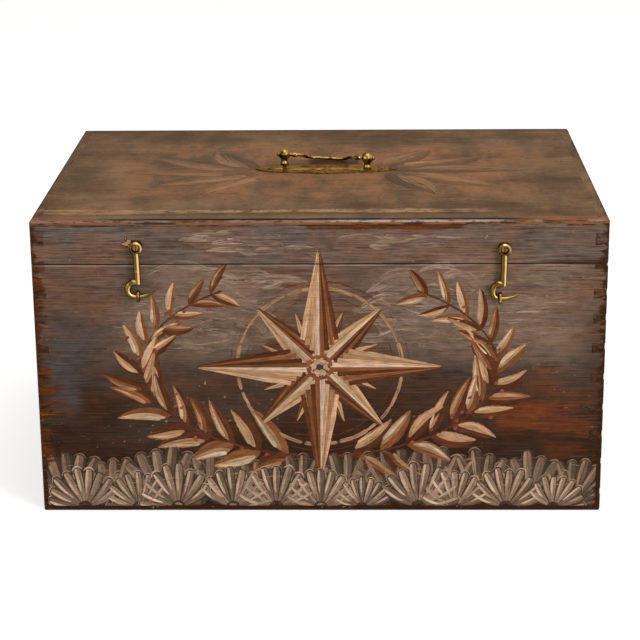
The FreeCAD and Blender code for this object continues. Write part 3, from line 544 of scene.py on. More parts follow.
def chipped(tree, at, colour):
    """Small pale chips, dark specks on the top, and one fresh chip beside the left hook."""
    chips = product(tree, fade(tree, at.specks, 0.70, 0.73), fade(tree, at.cloud, 0.46, 0.56), 0.8)
    colour = blend_colour(tree, chips, colour, PALE_SPECK)
    dark_specks = product(tree, fade(tree, at.specks, 0.35, 0.29), at.upper, 0.6)
    colour = blend_colour(tree, dark_specks, colour, GRIME)
    radius = shaken(tree, distance(tree, at.x, at.z, CHIP_PLACE), at.specks, 0.014)
    for size, paint in ((CHIP_SIZE * 1.35, CHIP_EDGE), (CHIP_SIZE, FRESH_CHIP)):
        chip = product(tree, fade(tree, radius, size, size * 0.7), at.front)
        colour = blend_colour(tree, chip, colour, paint)
    return colour


def dirty_joints(tree, at, colour):
    """Dirt in the seam and in the open joint of the top panel, rust at its ends, and a pale sawn edge."""
    below = calc(tree, "SUBTRACT", SEAM, at.z)
    chafed = product(tree, window(tree, below, *CHAFED_Z), fade(tree, at.x, 0.225, 0.26), 0.8)
    colour = blend_colour(tree, chafed, colour, CHAFED_EDGE)
    sawn = product(tree, window(tree, below, *SAWN_Z), fade(tree, at.streak, 0.44, 0.54), 0.8)
    colour = blend_colour(tree, sawn, colour, SAWN_EDGE)
    colour = blend_colour(tree, fade(tree, calc(tree, "ABSOLUTE", below), 0.0010, 0.0003), colour, GRIME)
    middle = window(tree, at.x, *JOINT_X)
    joint = product(tree, window(tree, at.y, *JOINT_Y), at.upper,
                    fade(tree, calc(tree, "ADD", at.ragged, at.streak), 0.76, 0.96), middle)
    colour = blend_colour(tree, joint, colour, GRIME)
    rusted = product(tree, window(tree, at.y, *JOINT_RUST_Y), at.upper, fade(tree, middle, 1.0, 0.0),
                     fade(tree, at.ragged, 0.36, 0.50), 0.8)
    return blend_colour(tree, rusted, colour, LIP_ORANGE)


print("marks of use ready")

# %% [markdown]
# Together these make the ground of the whole box. It is built once for boards that run along X and once for
# those that run along Y. Old paint is nearly matt, so its specular level is low.

# %% Paint on the boards
PAINT_GLOSS = 0.03
PAINT_ROUGHNESS = 0.6


def slate_ground(tree, coordinates, run):
    """Colour, relief, bareness and streaks of the worn paint at a point of the box."""
    at = paint_noises(tree, coordinates, run)
    colour, shade = streaked(tree, at, slate_coat(tree, at))
    colour, wear = worn_through(tree, at, colour)
    colour = chipped(tree, at, front_arris(tree, at, colour))
    colour = dirty_joints(tree, at, colour)
    relief = total(tree, (at.brush, 1.0), (at.streak, 1.0), (wear, -0.5))
    return colour, relief, wear, shade


def matt_surface(tree, surface, colour, roughness, height, depth, strength):
    """A surface of old paint or bare wood, with little gloss."""
    surface.inputs["Specular IOR Level"].default_value = PAINT_GLOSS
    finish_surface(tree, surface, colour, roughness, height, depth, strength)


paints = {}
for run in "XY":
    material, tree, surface, coordinates = new_material("slate_paint_" + run.lower())
    colour, relief = slate_ground(tree, coordinates, run)[:2]
    matt_surface(tree, surface, colour, PAINT_ROUGHNESS, relief, 0.0004, 0.6)
    paints[run] = material
print("paint ready for", len(paints), "directions")

# %% [markdown]
# Inside, the pine is bare and aged. The same stretched noise makes growth rings that wander along the
# board, with fine pores and a few stains over them. End grain, which shows on the dovetails, is darker
# because it drinks in dirt, and it keeps some of the paint that went over it. Blender's wave texture could
# draw the rings, but they would be too even. A slow noise that is folded back and forth gives lines that
# part and meet.

# %% Bare wood
PINE_TONES = ((0.25, (0.150, 0.070, 0.028)), (0.5, (0.290, 0.155, 0.070)), (0.75, (0.370, 0.215, 0.105)))
END_TONES = ((0.34, (0.013, 0.006, 0.003)), (0.48, (0.046, 0.018, 0.008)), (0.64, (0.125, 0.052, 0.022)))
PINE_ROUGHNESS, END_ROUGHNESS = 0.62, 0.7
RING_COUNT = 11.0


def bare_pine(name, run):
    """Growth rings along the board, with fibres and stains over them."""
    material, tree, surface, coordinates = new_material(name)
    rings = grain(tree, coordinates, along(run, 1.1, 16), 1.5, 0.45)
    rings = calc(tree, "PINGPONG", calc(tree, "MULTIPLY", rings, RING_COUNT), 0.5)
    stain = grain(tree, coordinates, (9, 9, 9), 4.0, 0.6, (2, 7, 5))
    fibre = grain(tree, coordinates, along(run, 18, 900), 3.0, 0.6)
    value = total(tree, (rings, 0.5), (fibre, 0.45), (stain, 0.35))
    matt_surface(tree, surface, tones(tree, value, *PINE_TONES), PINE_ROUGHNESS, fibre, 0.0003, 0.5)
    return material


def end_grain(name):
    """Dark cut fibres, with what is left of the paint in bands."""
    material, tree, surface, coordinates = new_material(name)
    pores = grain(tree, coordinates, (300, 300, 420), 3.0, 0.65)
    bands = grain(tree, coordinates, (60, 60, 160), 3.0, 0.6, (3, 3, 3))
    fibres = tones(tree, total(tree, (pores, 0.55), (bands, 0.45)), *END_TONES)
    painted = slate_ground(tree, coordinates, "X")[0]
    colour = blend_colour(tree, fade(tree, bands, 0.42, 0.60, 0.12, 0.55), fibres, painted)
    matt_surface(tree, surface, colour, END_ROUGHNESS, pores, 0.0004, 0.6)
    return material


pines = {run: bare_pine("bare_pine_" + run.lower(), run) for run in "XY"}
pin_ends = end_grain("end_grain")
print("bare wood ready:", ", ".join(wood.name for wood in (*pines.values(), pin_ends)))

# %% [markdown]
# The boards themselves keep the CAD shapes, dovetails and all. A render of perfectly sharp, perfectly
# closed joints shows no joints, so each board is a merged copy whose sharp edges get a small bevel. Where
# two boards meet, the bevels make the fine groove that the eye reads as a joint. The front edge of the top
# panel gets a larger one, because there the joint has opened. The upright corners of the box are worn
# round. A bevel would have to run across several boards there, so each board is cut along its corners and
# drawn in instead.

# %% Worn edges
EDGE_EASE = 0.00055
OPEN_EASE = 0.0022
CORNER_WEAR = 0.006
HALFWAY_ROUND = 0.55
SHARP = math.radians(40)
ON_PLANE, ON_EDGE = 1e-7, 1e-5


def ease(shape, edges, offset):
    bmesh.ops.bevel(shape, geom=edges, offset=offset, affect="EDGES", segments=2, profile=0.5, material=-1,
                    clamp_overlap=True)


def ease_sharp_edges(shape):
    sharp = [edge for edge in shape.edges if len(edge.link_faces) == 2 and edge.calc_face_angle() > SHARP]
    ease(shape, sharp, EDGE_EASE)


def ease_panel_front(shape, low, high):
    """Opens the joint in front of the top panel by a larger bevel on its upper front edge."""
    front = [edge for edge in shape.edges
             if all(vert.co.y < low.y + ON_EDGE and vert.co.z > high.z - ON_EDGE for vert in edge.verts)]
    ease(shape, front, OPEN_EASE)


def cut(shape, place, normal, drop_outside=False):
    """Cuts a shape along a plane, and drops what lies on the side that the normal points to, if asked."""
    bmesh.ops.bisect_plane(shape, geom=shape.verts[:] + shape.edges[:] + shape.faces[:], dist=ON_PLANE,
                           plane_co=place, plane_no=normal, clear_outer=drop_outside)


def wear_corners(shape):
    """Cuts the board where the round of an upright corner starts, and draws what lies outside it inwards."""
    for axis, half in ((0, HALF_WIDTH), (1, HALF_DEPTH)):
        for share in (1, HALFWAY_ROUND, -1, -HALFWAY_ROUND):
            inset = CORNER_WEAR * share
            place, normal = Vector(), Vector()
            place[axis], normal[axis] = math.copysign(half, inset) - inset, 1
            cut(shape, place, normal)
    middle = Vector((HALF_WIDTH - CORNER_WEAR, HALF_DEPTH - CORNER_WEAR))
    for vert in shape.verts:
        aside = Vector((abs(vert.co.x), abs(vert.co.y))) - middle
        if min(aside) > 0 and aside.length > CORNER_WEAR:
            rounded = middle + aside.normalized() * CORNER_WEAR
            vert.co.x, vert.co.y = math.copysign(rounded.x, vert.co.x), math.copysign(rounded.y, vert.co.y)


print("edges eased by", EDGE_EASE, "m and corners worn by", CORNER_WEAR, "m")

# %% [markdown]
# Each face then takes the finish that suits it: paint outside, bare pine inside, end grain where the fibres
# are cut. One material with masks could hold all three, but a material for each is easier to read and to
# change. Flat faces stay flat-shaded, and only eased edges are shaded smooth, so no shading creeps into a
# board.

# %% Boards
FLUSH = 0.0026
END_ON, FLAT = 0.8, 0.999
SAME_POINT, SAME_PLANE = 1e-6, math.radians(1)


def board_finish(centre, normal, run):
    """Which finish a face of a board has, by where it lies and which way it looks."""
    outside = max(abs(centre.x) - HALF_WIDTH, abs(centre.y) - HALF_DEPTH, centre.z - HEIGHT) > -FLUSH
    if not outside:
        return "bare"
    across_fibres = abs(normal.x) if run == "X" else abs(normal.y)
    return "end" if across_fibres > END_ON else "paint"


def dressed_board(node, body, run):
    """A worn copy of one CAD board, in its place and on its body."""
    shape = bmesh.new()
    shape.from_mesh(frame["nodes"][node].data)
    bmesh.ops.remove_doubles(shape, verts=shape.verts, dist=SAME_POINT)
    bmesh.ops.dissolve_limit(shape, angle_limit=SAME_PLANE, verts=shape.verts, edges=shape.edges)
    if node == "lid_top":
        ease_panel_front(shape, *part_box(node))
    else:
        wear_corners(shape)
    ease_sharp_edges(shape)
    bmesh.ops.triangulate(shape, faces=[face for face in shape.faces if len(face.verts) > 4])
    finishes = {"paint": paints[run], "bare": pines[run], "end": pin_ends}
    order = list(finishes)
    for face in shape.faces:
        face.material_index = order.index(board_finish(face.calc_center_median(), face.normal, run))
        face.smooth = max(abs(part) for part in face.normal) < FLAT
    board = made_object(node + "_board", shape)
    mesh = board.data
    if "custom_normal" in mesh.attributes:
        mesh.attributes.remove(mesh.attributes["custom_normal"])
    for finish in order:
        mesh.materials.append(finishes[finish])
    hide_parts(node)
    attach(board, body)
    print(node, len(mesh.polygons), "faces")


for half in ("case", "lid"):
    for name, run in (("front", "X"), ("back", "X"), ("left_end", "Y"), ("right_end", "Y")):
        dressed_board(f"{half}_{name}", half, run)
dressed_board("lid_top", "lid", "X")

# %% [markdown]
# The front and the top are decorated by hand with a brush. A brush stroke has a shape, a direction, streaks
# from its hairs and a little body, so each stroke here is modelled: a small grid, bent along a curve,
# narrowed to the outline of the stroke, domed by a few tenths of a millimetre and sunk at its border into
# the board. Three attributes travel with it: its paint, the paint it was laid over, and the place of each
# point along and across the hairs. The finish below uses them to break the stroke up into hairs where the
# brush ran dry. Where the ground is worn to the wood, the stroke is worn too. Strokes in an image would be
# simpler, but these catch the light and stay sharp when the camera comes near.

# %% Finish of the brush strokes
def brushwork(name):
    material, tree, surface, coordinates = new_material(name)
    ground, _, wear, shade = slate_ground(tree, coordinates, "X")
    paint = put(tree, "Attribute", attribute_name="paint")
    under = put(tree, "Attribute", attribute_name="under")
    bristle = put(tree, "Attribute", attribute_name="bristle").outputs["Vector"]
    hairs = grain(tree, bristle, (26, 900, 1), 3.0, 0.66)
    drag = grain(tree, bristle, (60, 330, 1), 4.0, 0.65, (5, 3, 1))
    ridges = calc(tree, "ADD", hairs, drag)
    laid = shaken(tree, shaken(tree, paint.outputs["Alpha"], hairs, 1.3), drag, 0.7)
    base = blend_colour(tree, under.outputs["Alpha"], ground, under.outputs["Color"])
    tint = total(tree, (fade(tree, ridges, 0.7, 1.3, 0.62, 1.34), 1.0), (shade, 0.55))
    colour = blend_colour(tree, 1.0, paint.outputs["Color"], grey(tree, tint), "MULTIPLY")
    colour = blend_colour(tree, fade(tree, laid, 0.34, 0.66), base, colour)
    colour = blend_colour(tree, wear, colour, ground)
    matt_surface(tree, surface, colour, PAINT_ROUGHNESS, ridges, 0.0004, 0.8)
    return material


strokes_finish = brushwork("brush_strokes")
print("brush finish ready with", len(strokes_finish.node_tree.nodes), "nodes")

# %% [markdown]
# A canvas is one bmesh that collects strokes on one plane of the box. It keeps them clear of the edges, and
# on the top also clear of the rails. The top's paint is worn thin, so its strokes have less body. One
# object for each stroke would be slow to handle, because there are hundreds.

# %% Canvas
MARGIN, RAIL = 0.006, 0.016
THIN_BODY = 0.3


class Canvas:
    """Strokes of one motif, on the front or on the top of the box."""
    def __init__(self, side):
        self.shape = bmesh.new()
        self.paint = self.shape.verts.layers.float_color.new("paint")
        self.under = self.shape.verts.layers.float_color.new("under")
        self.bristle = self.shape.verts.layers.float_vector.new("bristle")
        self.count = 0
        if side == "front":
            self.body = 1.0
            self.place = lambda u, v, rise: Vector((u, -HALF_DEPTH - rise, v))
            self.low = (-HALF_WIDTH + MARGIN, MARGIN)
            self.high = (HALF_WIDTH - MARGIN, HEIGHT - MARGIN)
        else:
            self.body = THIN_BODY
            self.place = lambda u, v, rise: Vector((u, v, HEIGHT + rise))
            self.low = (-HALF_WIDTH + RAIL, -HALF_DEPTH + RAIL)
            self.high = (HALF_WIDTH - RAIL, HALF_DEPTH - RAIL)


print("canvas ready")

# %% [markdown]
# The brush itself is a few outlines: a leaf, pointed at both ends, a comma, with a round head and a long
# tail, a wedge, a bar, blunt at both ends, and a dab. Each gives the stroke's width at a share t of its
# length. The hand that holds the brush is a seeded random generator, so that no two strokes are alike and
# every run is the same.

# %% The brush
hand = random.Random(7)


def leaf_outline(t):
    return math.sin(math.pi * t ** 0.8)


def comma_outline(t):
    return math.sin(math.pi * min(1, t ** 0.55)) ** 0.8 if t < 1 else 0.0


def wedge_outline(t):
    return (1 - t) ** 0.85 if t > 0 else 0.6


def bar_outline(t):
    return min(1.0, 7 * t + 0.25, 7 * (1 - t) + 0.25)


def dab_outline(t):
    return math.sqrt(max(0.0, 1 - (2 * t - 1) ** 2))


def near(value, spread):
    """A value that is out by up to a share of itself."""
    return value * (1 + hand.uniform(-spread, spread))


def shade_of(colour, spread=0.14):
    """A colour mixed anew: lighter or darker, and a touch off in hue."""
    level = 1 + hand.uniform(-spread, spread)
    return tuple(part * level * (1 + hand.uniform(-0.04, 0.04)) for part in colour)


print("brush ready")

# %% [markdown]
# A stroke follows a curve through three points. Its stations are crowded towards the start, where the
# outline is rounder, and the grid's border is sunk below the board and filled, which closes the mesh.

# %% Strokes
STATIONS = 10
CROWDED = 1.45
THIN = 0.003
LAYER, FIRST_COAT = 0.00007, 0.00012
SINK = 0.0003
TIP_WIDTH = 0.02
DOME = 0.35
BORDER = 1e-4


def curve_point(path, t):
    """A point and a heading on a curve through the first and last of three points."""
    first, middle, last = (Vector(point) for point in path)
    point = first * (1 - t) ** 2 + middle * (2 * t * (1 - t)) + last * t ** 2
    heading = (middle - first) * (1 - t) + (last - middle) * t
    return point, heading.normalized()


def lay_stroke(canvas, path, width, colour, outline, cover=(1.0, 0.7), under=None, layer=1):
    """Adds one closed stroke along a curve. Cover runs from its start to its end."""
    if len(path) == 2:
        path = (path[0], [(a + b) / 2 for a, b in zip(*path)], path[1])
    length = (Vector(path[1]) - Vector(path[0])).length + (Vector(path[2]) - Vector(path[1])).length
    rows = 2 if width < THIN else 4
    grid = bmesh.ops.create_grid(canvas.shape, x_segments=STATIONS, y_segments=rows, size=0.5)["verts"]
    seed = hand.uniform(0, 90)
    body = (LAYER * layer + FIRST_COAT) * canvas.body
    for vert in grid:
        t, across = (vert.co.x + 0.5) ** CROWDED, vert.co.y * 2
        point, heading = curve_point(path, t)
        offset = across * width / 2 * max(outline(t), TIP_WIDTH)
        on_border = t < BORDER or t > 1 - BORDER or abs(across) > 1 - BORDER
        rise = -SINK * canvas.body if on_border else body * (1 - DOME * across ** 2)
        u = min(max(point.x - heading.y * offset, canvas.low[0]), canvas.high[0])
        v = min(max(point.y + heading.x * offset, canvas.low[1]), canvas.high[1])
        vert.co = canvas.place(u, v, rise)
        vert[canvas.paint] = (*colour, cover[0] + (cover[1] - cover[0]) * t)
        vert[canvas.under] = (*under, 1.0) if under else (0, 0, 0, 0)
        vert[canvas.bristle] = (t * length, offset, seed)
    border = {edge for vert in grid for edge in vert.link_edges if edge.is_boundary}
    bmesh.ops.holes_fill(canvas.shape, edges=list(border), sides=0)
    canvas.count += 1


print("strokes of", STATIONS, "stations")

# %% [markdown]
# Loose, dry strokes of a pale grey-brown go on first. They give the upper half of the front its cloudy
# ground, and they are pulled away from the middle, so that each runs dry on its outer side. The hooks'
# sides stay clear.

# %% Pale ground strokes
PALE = ((0.185, 0.120, 0.083), (0.225, 0.148, 0.103), (0.300, 0.205, 0.145))
PALE_COUNTS, PALE_WIDTHS = (70, 70, 46), (0.036, 0.026, 0.013)
# Where strokes lie on either side of the middle: from, to and most often
PALE_LEFT, PALE_RIGHT = (-0.235, -0.05, -0.12), (0.05, 0.262, 0.17)
PALE_LIMIT = 0.281
HOOK_SIDES, HOOK_ROOM, HOOK_FOOT = (-0.192, 0.195), 0.035, 0.256
LID_STROKES = 30
pale_canvas = Canvas("front")


def pale_case_stroke(tone, thickness):
    """One stroke of the cloudy ground, or none where a hook lies."""
    u = hand.choice((hand.triangular(*PALE_LEFT), hand.triangular(*PALE_RIGHT)))
    v = hand.uniform(0.192, 0.268) - 0.2 * (abs(u) - 0.17) ** 2
    if min(abs(u - side) for side in HOOK_SIDES) < HOOK_ROOM and v > HOOK_FOOT:
        return
    length = hand.uniform(0.045, 0.10)
    u = max(length / 2 - PALE_LIMIT, min(PALE_LIMIT - length / 2, u))
    sag = hand.uniform(-0.014, 0.030)
    tilt = hand.uniform(-0.010, 0.010)
    outward = math.copysign(length / 2, u)
    lay_stroke(pale_canvas, ((u - outward, v - tilt), (u, v + sag), (u + outward, v + tilt)),
               near(thickness, 0.3), shade_of(tone, 0.14), leaf_outline, (hand.uniform(0.6, 0.8), 0.22))


def pale_lid_stroke():
    """One short level stroke above the seam."""
    u = hand.uniform(-0.15, 0.12)
    length = hand.uniform(0.03, 0.07)
    v = hand.uniform(0.291, 0.315)
    lay_stroke(pale_canvas, ((u, v), (u + length / 2, v + hand.uniform(-0.004, 0.010)), (u + length, v)),
               hand.uniform(0.007, 0.015), shade_of(hand.choice(PALE), 0.14), leaf_outline,
               (hand.uniform(0.5, 0.75), 0.25))


for tone, count, thickness in zip(PALE, PALE_COUNTS, PALE_WIDTHS):
    for index in range(count):
        pale_case_stroke(tone, thickness)
for index in range(LID_STROKES):
    pale_lid_stroke()
print(pale_canvas.count, "pale strokes")

# %% [markdown]
# The middle of the front carries a sixteen-point star, as on a compass card. Every point is a pair of
# halves, one light and one dark, so that it looks folded. Each half is filled with a few strokes that run
# out to the tip. One flat star would be quicker, but it would look printed.

# %% Points of the star
STAR_MIDDLE = Vector((0.0, 0.166))
PEACH, TAN, CREAM = (0.56, 0.33, 0.185), (0.40, 0.215, 0.110), (0.60, 0.42, 0.28)
BROWN, DARK, DUSTY_RED = (0.215, 0.080, 0.030), (0.110, 0.034, 0.014), (0.270, 0.075, 0.045)
HUB = 0.006
POINTS = 16
# Which points of every four, how far they reach, half their width, and layer
POINT_SIZES = (((1, 3), 0.070, 0.0105, 3), ((2,), 0.100, 0.0165, 4), ((0,), 0.136, 0.0215, 5))
star_canvas = Canvas("front")


def star_point(angle, reach, half_width, layer):
    heading = Vector((math.sin(angle), math.cos(angle)))
    aside = Vector((heading.y, -heading.x))
    tip = STAR_MIDDLE + heading * reach
    for side, colours in ((1, (BROWN, DARK, BROWN, DARK)), (-1, (CREAM, PEACH, TAN, PEACH))):
        rows = len(colours)
        for row, colour in enumerate(colours):
            share = (row + 0.5) / rows
            start = STAR_MIDDLE + heading * (HUB + half_width * 1.15 * share)
            start += aside * side * half_width * share
            middle = (start + tip) / 2 + aside * side * hand.uniform(-0.0006, 0.0008)
            lay_stroke(star_canvas, (start, middle, tip), half_width / rows * 1.9, shade_of(colour, 0.18),
                       wedge_outline, (1.0, 0.74), BROWN if side > 0 else TAN, layer)


print(POINTS, "points, from", POINT_SIZES[0][1], "to", POINT_SIZES[-1][1], "m long")

# %% [markdown]
# Rings of short strokes lie under the points and round the middle. The short points are painted first, so
# that the long ones lie over them.

# %% Rings and points
# Radius, width, colour, number of strokes, layer and cover
OUTER_RINGS = ((0.088, 0.0052, TAN, 30, 2, (0.95, 0.5)), (0.079, 0.0022, DARK, 26, 2, (0.8, 0.5)),
               (0.0955, 0.0022, DARK, 30, 2, (0.8, 0.5)))
HUB_RINGS = ((0.0125, 0.006, DUSTY_RED, 8, 7, (1.0, 0.9)), (0.0065, 0.0075, PEACH, 6, 8, (1.0, 0.9)))


def arc(middle, radius, spread, first, last):
    """Three points for a stroke along part of a circle, each a little out of true."""
    bend = math.cos((last - first) / 2)
    return [middle + Vector((math.sin(turn), math.cos(turn))) * near(radius, spread) / stretch
            for turn, stretch in ((first, 1), ((first + last) / 2, bend), (last, 1))]


def ring(radius, width, colour, count, layer, cover):
    """A circle of short curved strokes."""
    for index in range(count):
        first = 2 * math.pi * (index + hand.uniform(-0.1, 0.1)) / count
        last = first + 2 * math.pi / count * hand.uniform(1.0, 1.25)
        path = arc(STAR_MIDDLE, radius, 0.006, first, last)
        lay_stroke(star_canvas, path, near(width, 0.2), shade_of(colour), bar_outline, cover, None, layer)


for sizes in OUTER_RINGS:
    ring(*sizes)
for quarters, reach, half_width, layer in POINT_SIZES:
    for index in range(POINTS):
        if index % 4 in quarters:
            star_point(2 * math.pi * index / POINTS, near(reach, 0.02), half_width, layer)
for sizes in HUB_RINGS:
    ring(*sizes)
print(star_canvas.count, "strokes in the star")

# %% [markdown]
# A painted leaf takes three touches, as a decorator lays it: a dark leaf, a lighter one over most of it,
# and a highlight along the upper side. A copied leaf would show as a pattern, so each one is painted anew,
# with a bow and shades of its own.

# %% Leaves
def leaf(canvas, root, heading, length, width, colours, cover, layer):
    """Three touches of the brush, each over the one before."""
    aside = Vector((-heading.y, heading.x))
    bow = hand.uniform(-0.16, 0.16) * length
    tip = root + heading * length
    bend = (root + tip) / 2 + aside * bow
    dark, body, light = (shade_of(colour, 0.16) for colour in colours)
    lay_stroke(canvas, (root, bend, tip), width, dark, leaf_outline, (cover, cover * 0.85), None, layer)
    lift = aside * width * 0.13
    lay_stroke(canvas, (root + heading * length * 0.1 + lift, bend + lift, tip), width * 0.66, body,
               leaf_outline, (cover * 0.95, cover * 0.7), dark, layer + 1)
    lift = aside * width * 0.22
    lay_stroke(canvas, (root + heading * length * 0.2 + lift, bend + lift, tip - heading * length * 0.06),
               width * 0.34, light, comma_outline, (cover * 0.9, cover * 0.5), body, layer + 2)


print("leaves ready")

# %% [markdown]
# Two leafy branches rise round the star, along an ellipse. Their leaves stand in pairs and get smaller
# towards the end, and red berries go on last.

# %% Branches
WREATH_RADII = (0.190, 0.102)
LEAF_PAIRS, LEAF_LENGTH, LEAF_WIDTH, LEAF_SWING = 15, 0.064, 0.025, 0.66
LEAF_COLOURS = ((BROWN, TAN, CREAM), (DARK, TAN, PEACH), (BROWN, PEACH, CREAM), (DARK, BROWN, TAN))
BRANCH_COVER, BRANCH_LAYER = 0.98, 2
# Where each stem starts, beside the foot of the ellipse, and where it ends
STEMS = ((-math.pi / 2 + 0.10, 1.0), (-math.pi / 2 - 0.10, -math.pi - 1.0))
BERRIES, BERRY_WIDTH, BERRY_LENGTH, BERRY_LAYER = 30, 0.0052, Vector((0.0042, 0.0030)), 9
branch_canvas = Canvas("front")


def wreath_point(turn):
    return STAR_MIDDLE + Vector((WREATH_RADII[0] * math.cos(turn), WREATH_RADII[1] * math.sin(turn)))


def branch(start, end):
    """A curved stem with leaves in pairs, which get smaller towards its end."""
    step = (end - start) * 0.6 / LEAF_PAIRS
    for index in range(LEAF_PAIRS):
        share = (index + 0.5) / LEAF_PAIRS
        turn = start + (end - start) * share
        before, here, after = (wreath_point(turn + way * step) for way in (-1, 0, 1))
        along_stem = (after - before).normalized()
        lay_stroke(branch_canvas, (before, here, after), LEAF_WIDTH * 0.16, shade_of(DARK), bar_outline,
                   (BRANCH_COVER, BRANCH_COVER * 0.8), None, BRANCH_LAYER)
        taper = 1.0 - 0.40 * share
        for side in (1, -1):
            heading = Matrix.Rotation(side * LEAF_SWING + hand.uniform(-0.18, 0.18), 2) @ along_stem
            length, width = near(LEAF_LENGTH * taper, 0.14), near(LEAF_WIDTH * taper, 0.14)
            leaf(branch_canvas, here, heading, length, width, hand.choice(LEAF_COLOURS), BRANCH_COVER,
                 BRANCH_LAYER + 1 + index % 3)


for start, end in STEMS:
    branch(start, end)
for index in range(BERRIES):
    turn = hand.choice((hand.uniform(-1.3, 0.9), math.pi + hand.uniform(-0.9, 1.3)))
    spot = STAR_MIDDLE + (wreath_point(turn) - STAR_MIDDLE) * hand.uniform(0.86, 1.14)
    lay_stroke(branch_canvas, (spot, spot + BERRY_LENGTH), BERRY_WIDTH, shade_of(DUSTY_RED), dab_outline,
               (1.0, 0.9), DARK, BERRY_LAYER)
print(branch_canvas.count, "strokes in the branches")

# %% [markdown]
# A bank of scallop shells runs along the foot of the front, two deep, and no two of one size or lean. Each
# shell is a fan of ribs pulled in from the rim to its hinge, lighter on its left. Thin touches follow its
# growth.

# %% Shells
SHELL_RIBS, SHELL_FAN = 9, 1.30
SHELL_BED = (0.074, 0.043, 0.027)
SHELL_TONES = ((0.112, 0.068, 0.043), (0.168, 0.104, 0.068), (0.260, 0.166, 0.109), (0.50, 0.345, 0.238))
GROWTH_RADII, GROWTH_STARTS = (0.56, 0.70, 0.85), (-1.15, -0.35, 0.45)


def shell_rib(canvas, root, reach, lean, share, palette, layer):
    """One curved rib: a dark bed, a body, a light, and mostly a round rim."""
    rib_width = reach * 2.5 / SHELL_RIBS
    turn = lean + share * SHELL_FAN
    heading = Vector((math.sin(turn), math.cos(turn)))
    aside = Vector((heading.y, -heading.x))
    tip = root + heading * near(reach * (0.80 + 0.20 * math.cos(share * 1.4)), 0.05)
    bend = (root + tip) / 2 + aside * reach * (0.10 * share + hand.uniform(-0.03, 0.03))
    lit = 1.12 - 0.22 * share
    body = tuple(part * lit for part in shade_of(hand.choice(palette[:2]), 0.16))
    light = tuple(part * lit for part in shade_of(palette[2], 0.2))
    lay_stroke(canvas, (tip, bend, root), rib_width * 1.28, shade_of(SHELL_BED), comma_outline, (1.0, 0.9),
               None, layer)
    lay_stroke(canvas, (tip - heading * 0.0012, bend, root + heading * 0.003), rib_width, body, comma_outline,
               (1.0, 0.66), SHELL_BED, layer + 1)
    lift = aside * rib_width * 0.14
    lay_stroke(canvas, (tip - heading * 0.0022 - lift, bend - lift, root + heading * reach * 0.3),
               rib_width * 0.42, light, comma_outline, (0.95, 0.35), body, layer + 2)
    if hand.random() < 0.75:
        inward, outward = tip - heading * rib_width * 0.42, tip + heading * rib_width * 0.30
        half_rim = aside * rib_width * 0.46
        lay_stroke(canvas, (inward - half_rim, outward, inward + half_rim), hand.uniform(0.0016, 0.0032),
                   shade_of(palette[2], 0.2), leaf_outline, (1.0, 0.7), body, layer + 3)


def shell(canvas, u, foot, reach, lean, palette, layer):
    """A scallop: a fan of ribs from the hinge, with touches across them that follow its growth."""
    root = Vector((u, foot))
    for number in range(SHELL_RIBS):
        shell_rib(canvas, root, reach, lean, (number + 0.5) / SHELL_RIBS * 2 - 1, palette, layer)
    for radius in GROWTH_RADII:
        for first in GROWTH_STARTS:
            last = first + hand.uniform(0.4, 0.8)
            path = arc(root, reach * radius, 0.05, lean + first, lean + last)
            lay_stroke(canvas, path, hand.uniform(0.0010, 0.0024),
                       shade_of(hand.choice((SHELL_BED, palette[2]))), leaf_outline, (0.8, 0.4), palette[0],
                       layer + 3)


print("shells of", SHELL_RIBS, "ribs")

# %% [markdown]
# The rows overlap: the back row's shells are larger and darker, and the front row's fill the gaps. Each row
# has a canvas of its own, so that neither mesh gets heavy.

# %% Shell rows
SHELL_PITCH, SHELL_SHIFT, SHELL_LEAN = 0.0508, 0.007, 0.35


def shell_row(places, foot, reach, spread, palette, layer):
    """A row of shells at places in units of the pitch, on a canvas of its own."""
    canvas = Canvas("front")
    for place in places:
        u = place * SHELL_PITCH + hand.uniform(-SHELL_SHIFT, SHELL_SHIFT)
        shell(canvas, u, foot, near(reach, spread), hand.uniform(-SHELL_LEAN, SHELL_LEAN), palette, layer)
    return canvas


back_shells = shell_row([index + 0.5 for index in range(-6, 6)], 0.008, 0.062, 0.14, SHELL_TONES[:3], 2)
front_shells = shell_row(range(-5, 6), 0.003, 0.046, 0.18, SHELL_TONES[1:], 6)
print(back_shells.count + front_shells.count, "strokes in the shells")

# %% [markdown]
# On the top the paint is almost gone. A faded palmette, which is a fan of broad leaves, still lies on
# either side of the handle. Its leaves are the branches' leaves again, larger and with little cover.

# %% Faded palmettes on the top
FADED = (((0.150, 0.072, 0.031), (0.275, 0.124, 0.055), (0.320, 0.178, 0.090)),
         ((0.125, 0.062, 0.026), (0.235, 0.118, 0.055), (0.300, 0.155, 0.075)))
FADED_COVER = 0.64
PALMETTE_ROOT, PALMETTE_HEART = 0.066, 0.012
PALMETTE_LEAVES, PALMETTE_TURN = 5, 30
PALMETTE_LENGTH, PALMETTE_WIDTH = 0.165, 0.066
top_canvas = Canvas("top")
for side in (-1, 1):
    for number in range(PALMETTE_LEAVES):
        turn = math.radians(PALMETTE_TURN * (number - PALMETTE_LEAVES // 2))
        heading = Vector((side * math.cos(turn), math.sin(turn)))
        root = Vector((side * PALMETTE_ROOT, 0)) + heading * PALMETTE_HEART
        leaf(top_canvas, root, heading, near(PALMETTE_LENGTH - 0.035 * abs(turn), 0.08),
             near(PALMETTE_WIDTH, 0.12), hand.choice(FADED), FADED_COVER, number % 2)
print(top_canvas.count, "strokes on the top")

# %% [markdown]
# The box was painted closed, so the star and the pale ground lie across the seam. Those canvases are cut
# twice with a plane, once for the case and once for the lid, and the cuts are closed again. Each half then
# rides with its own body when the lid opens.

# %% Strokes onto the case and the lid
SEAM_CLEAR = 0.0006


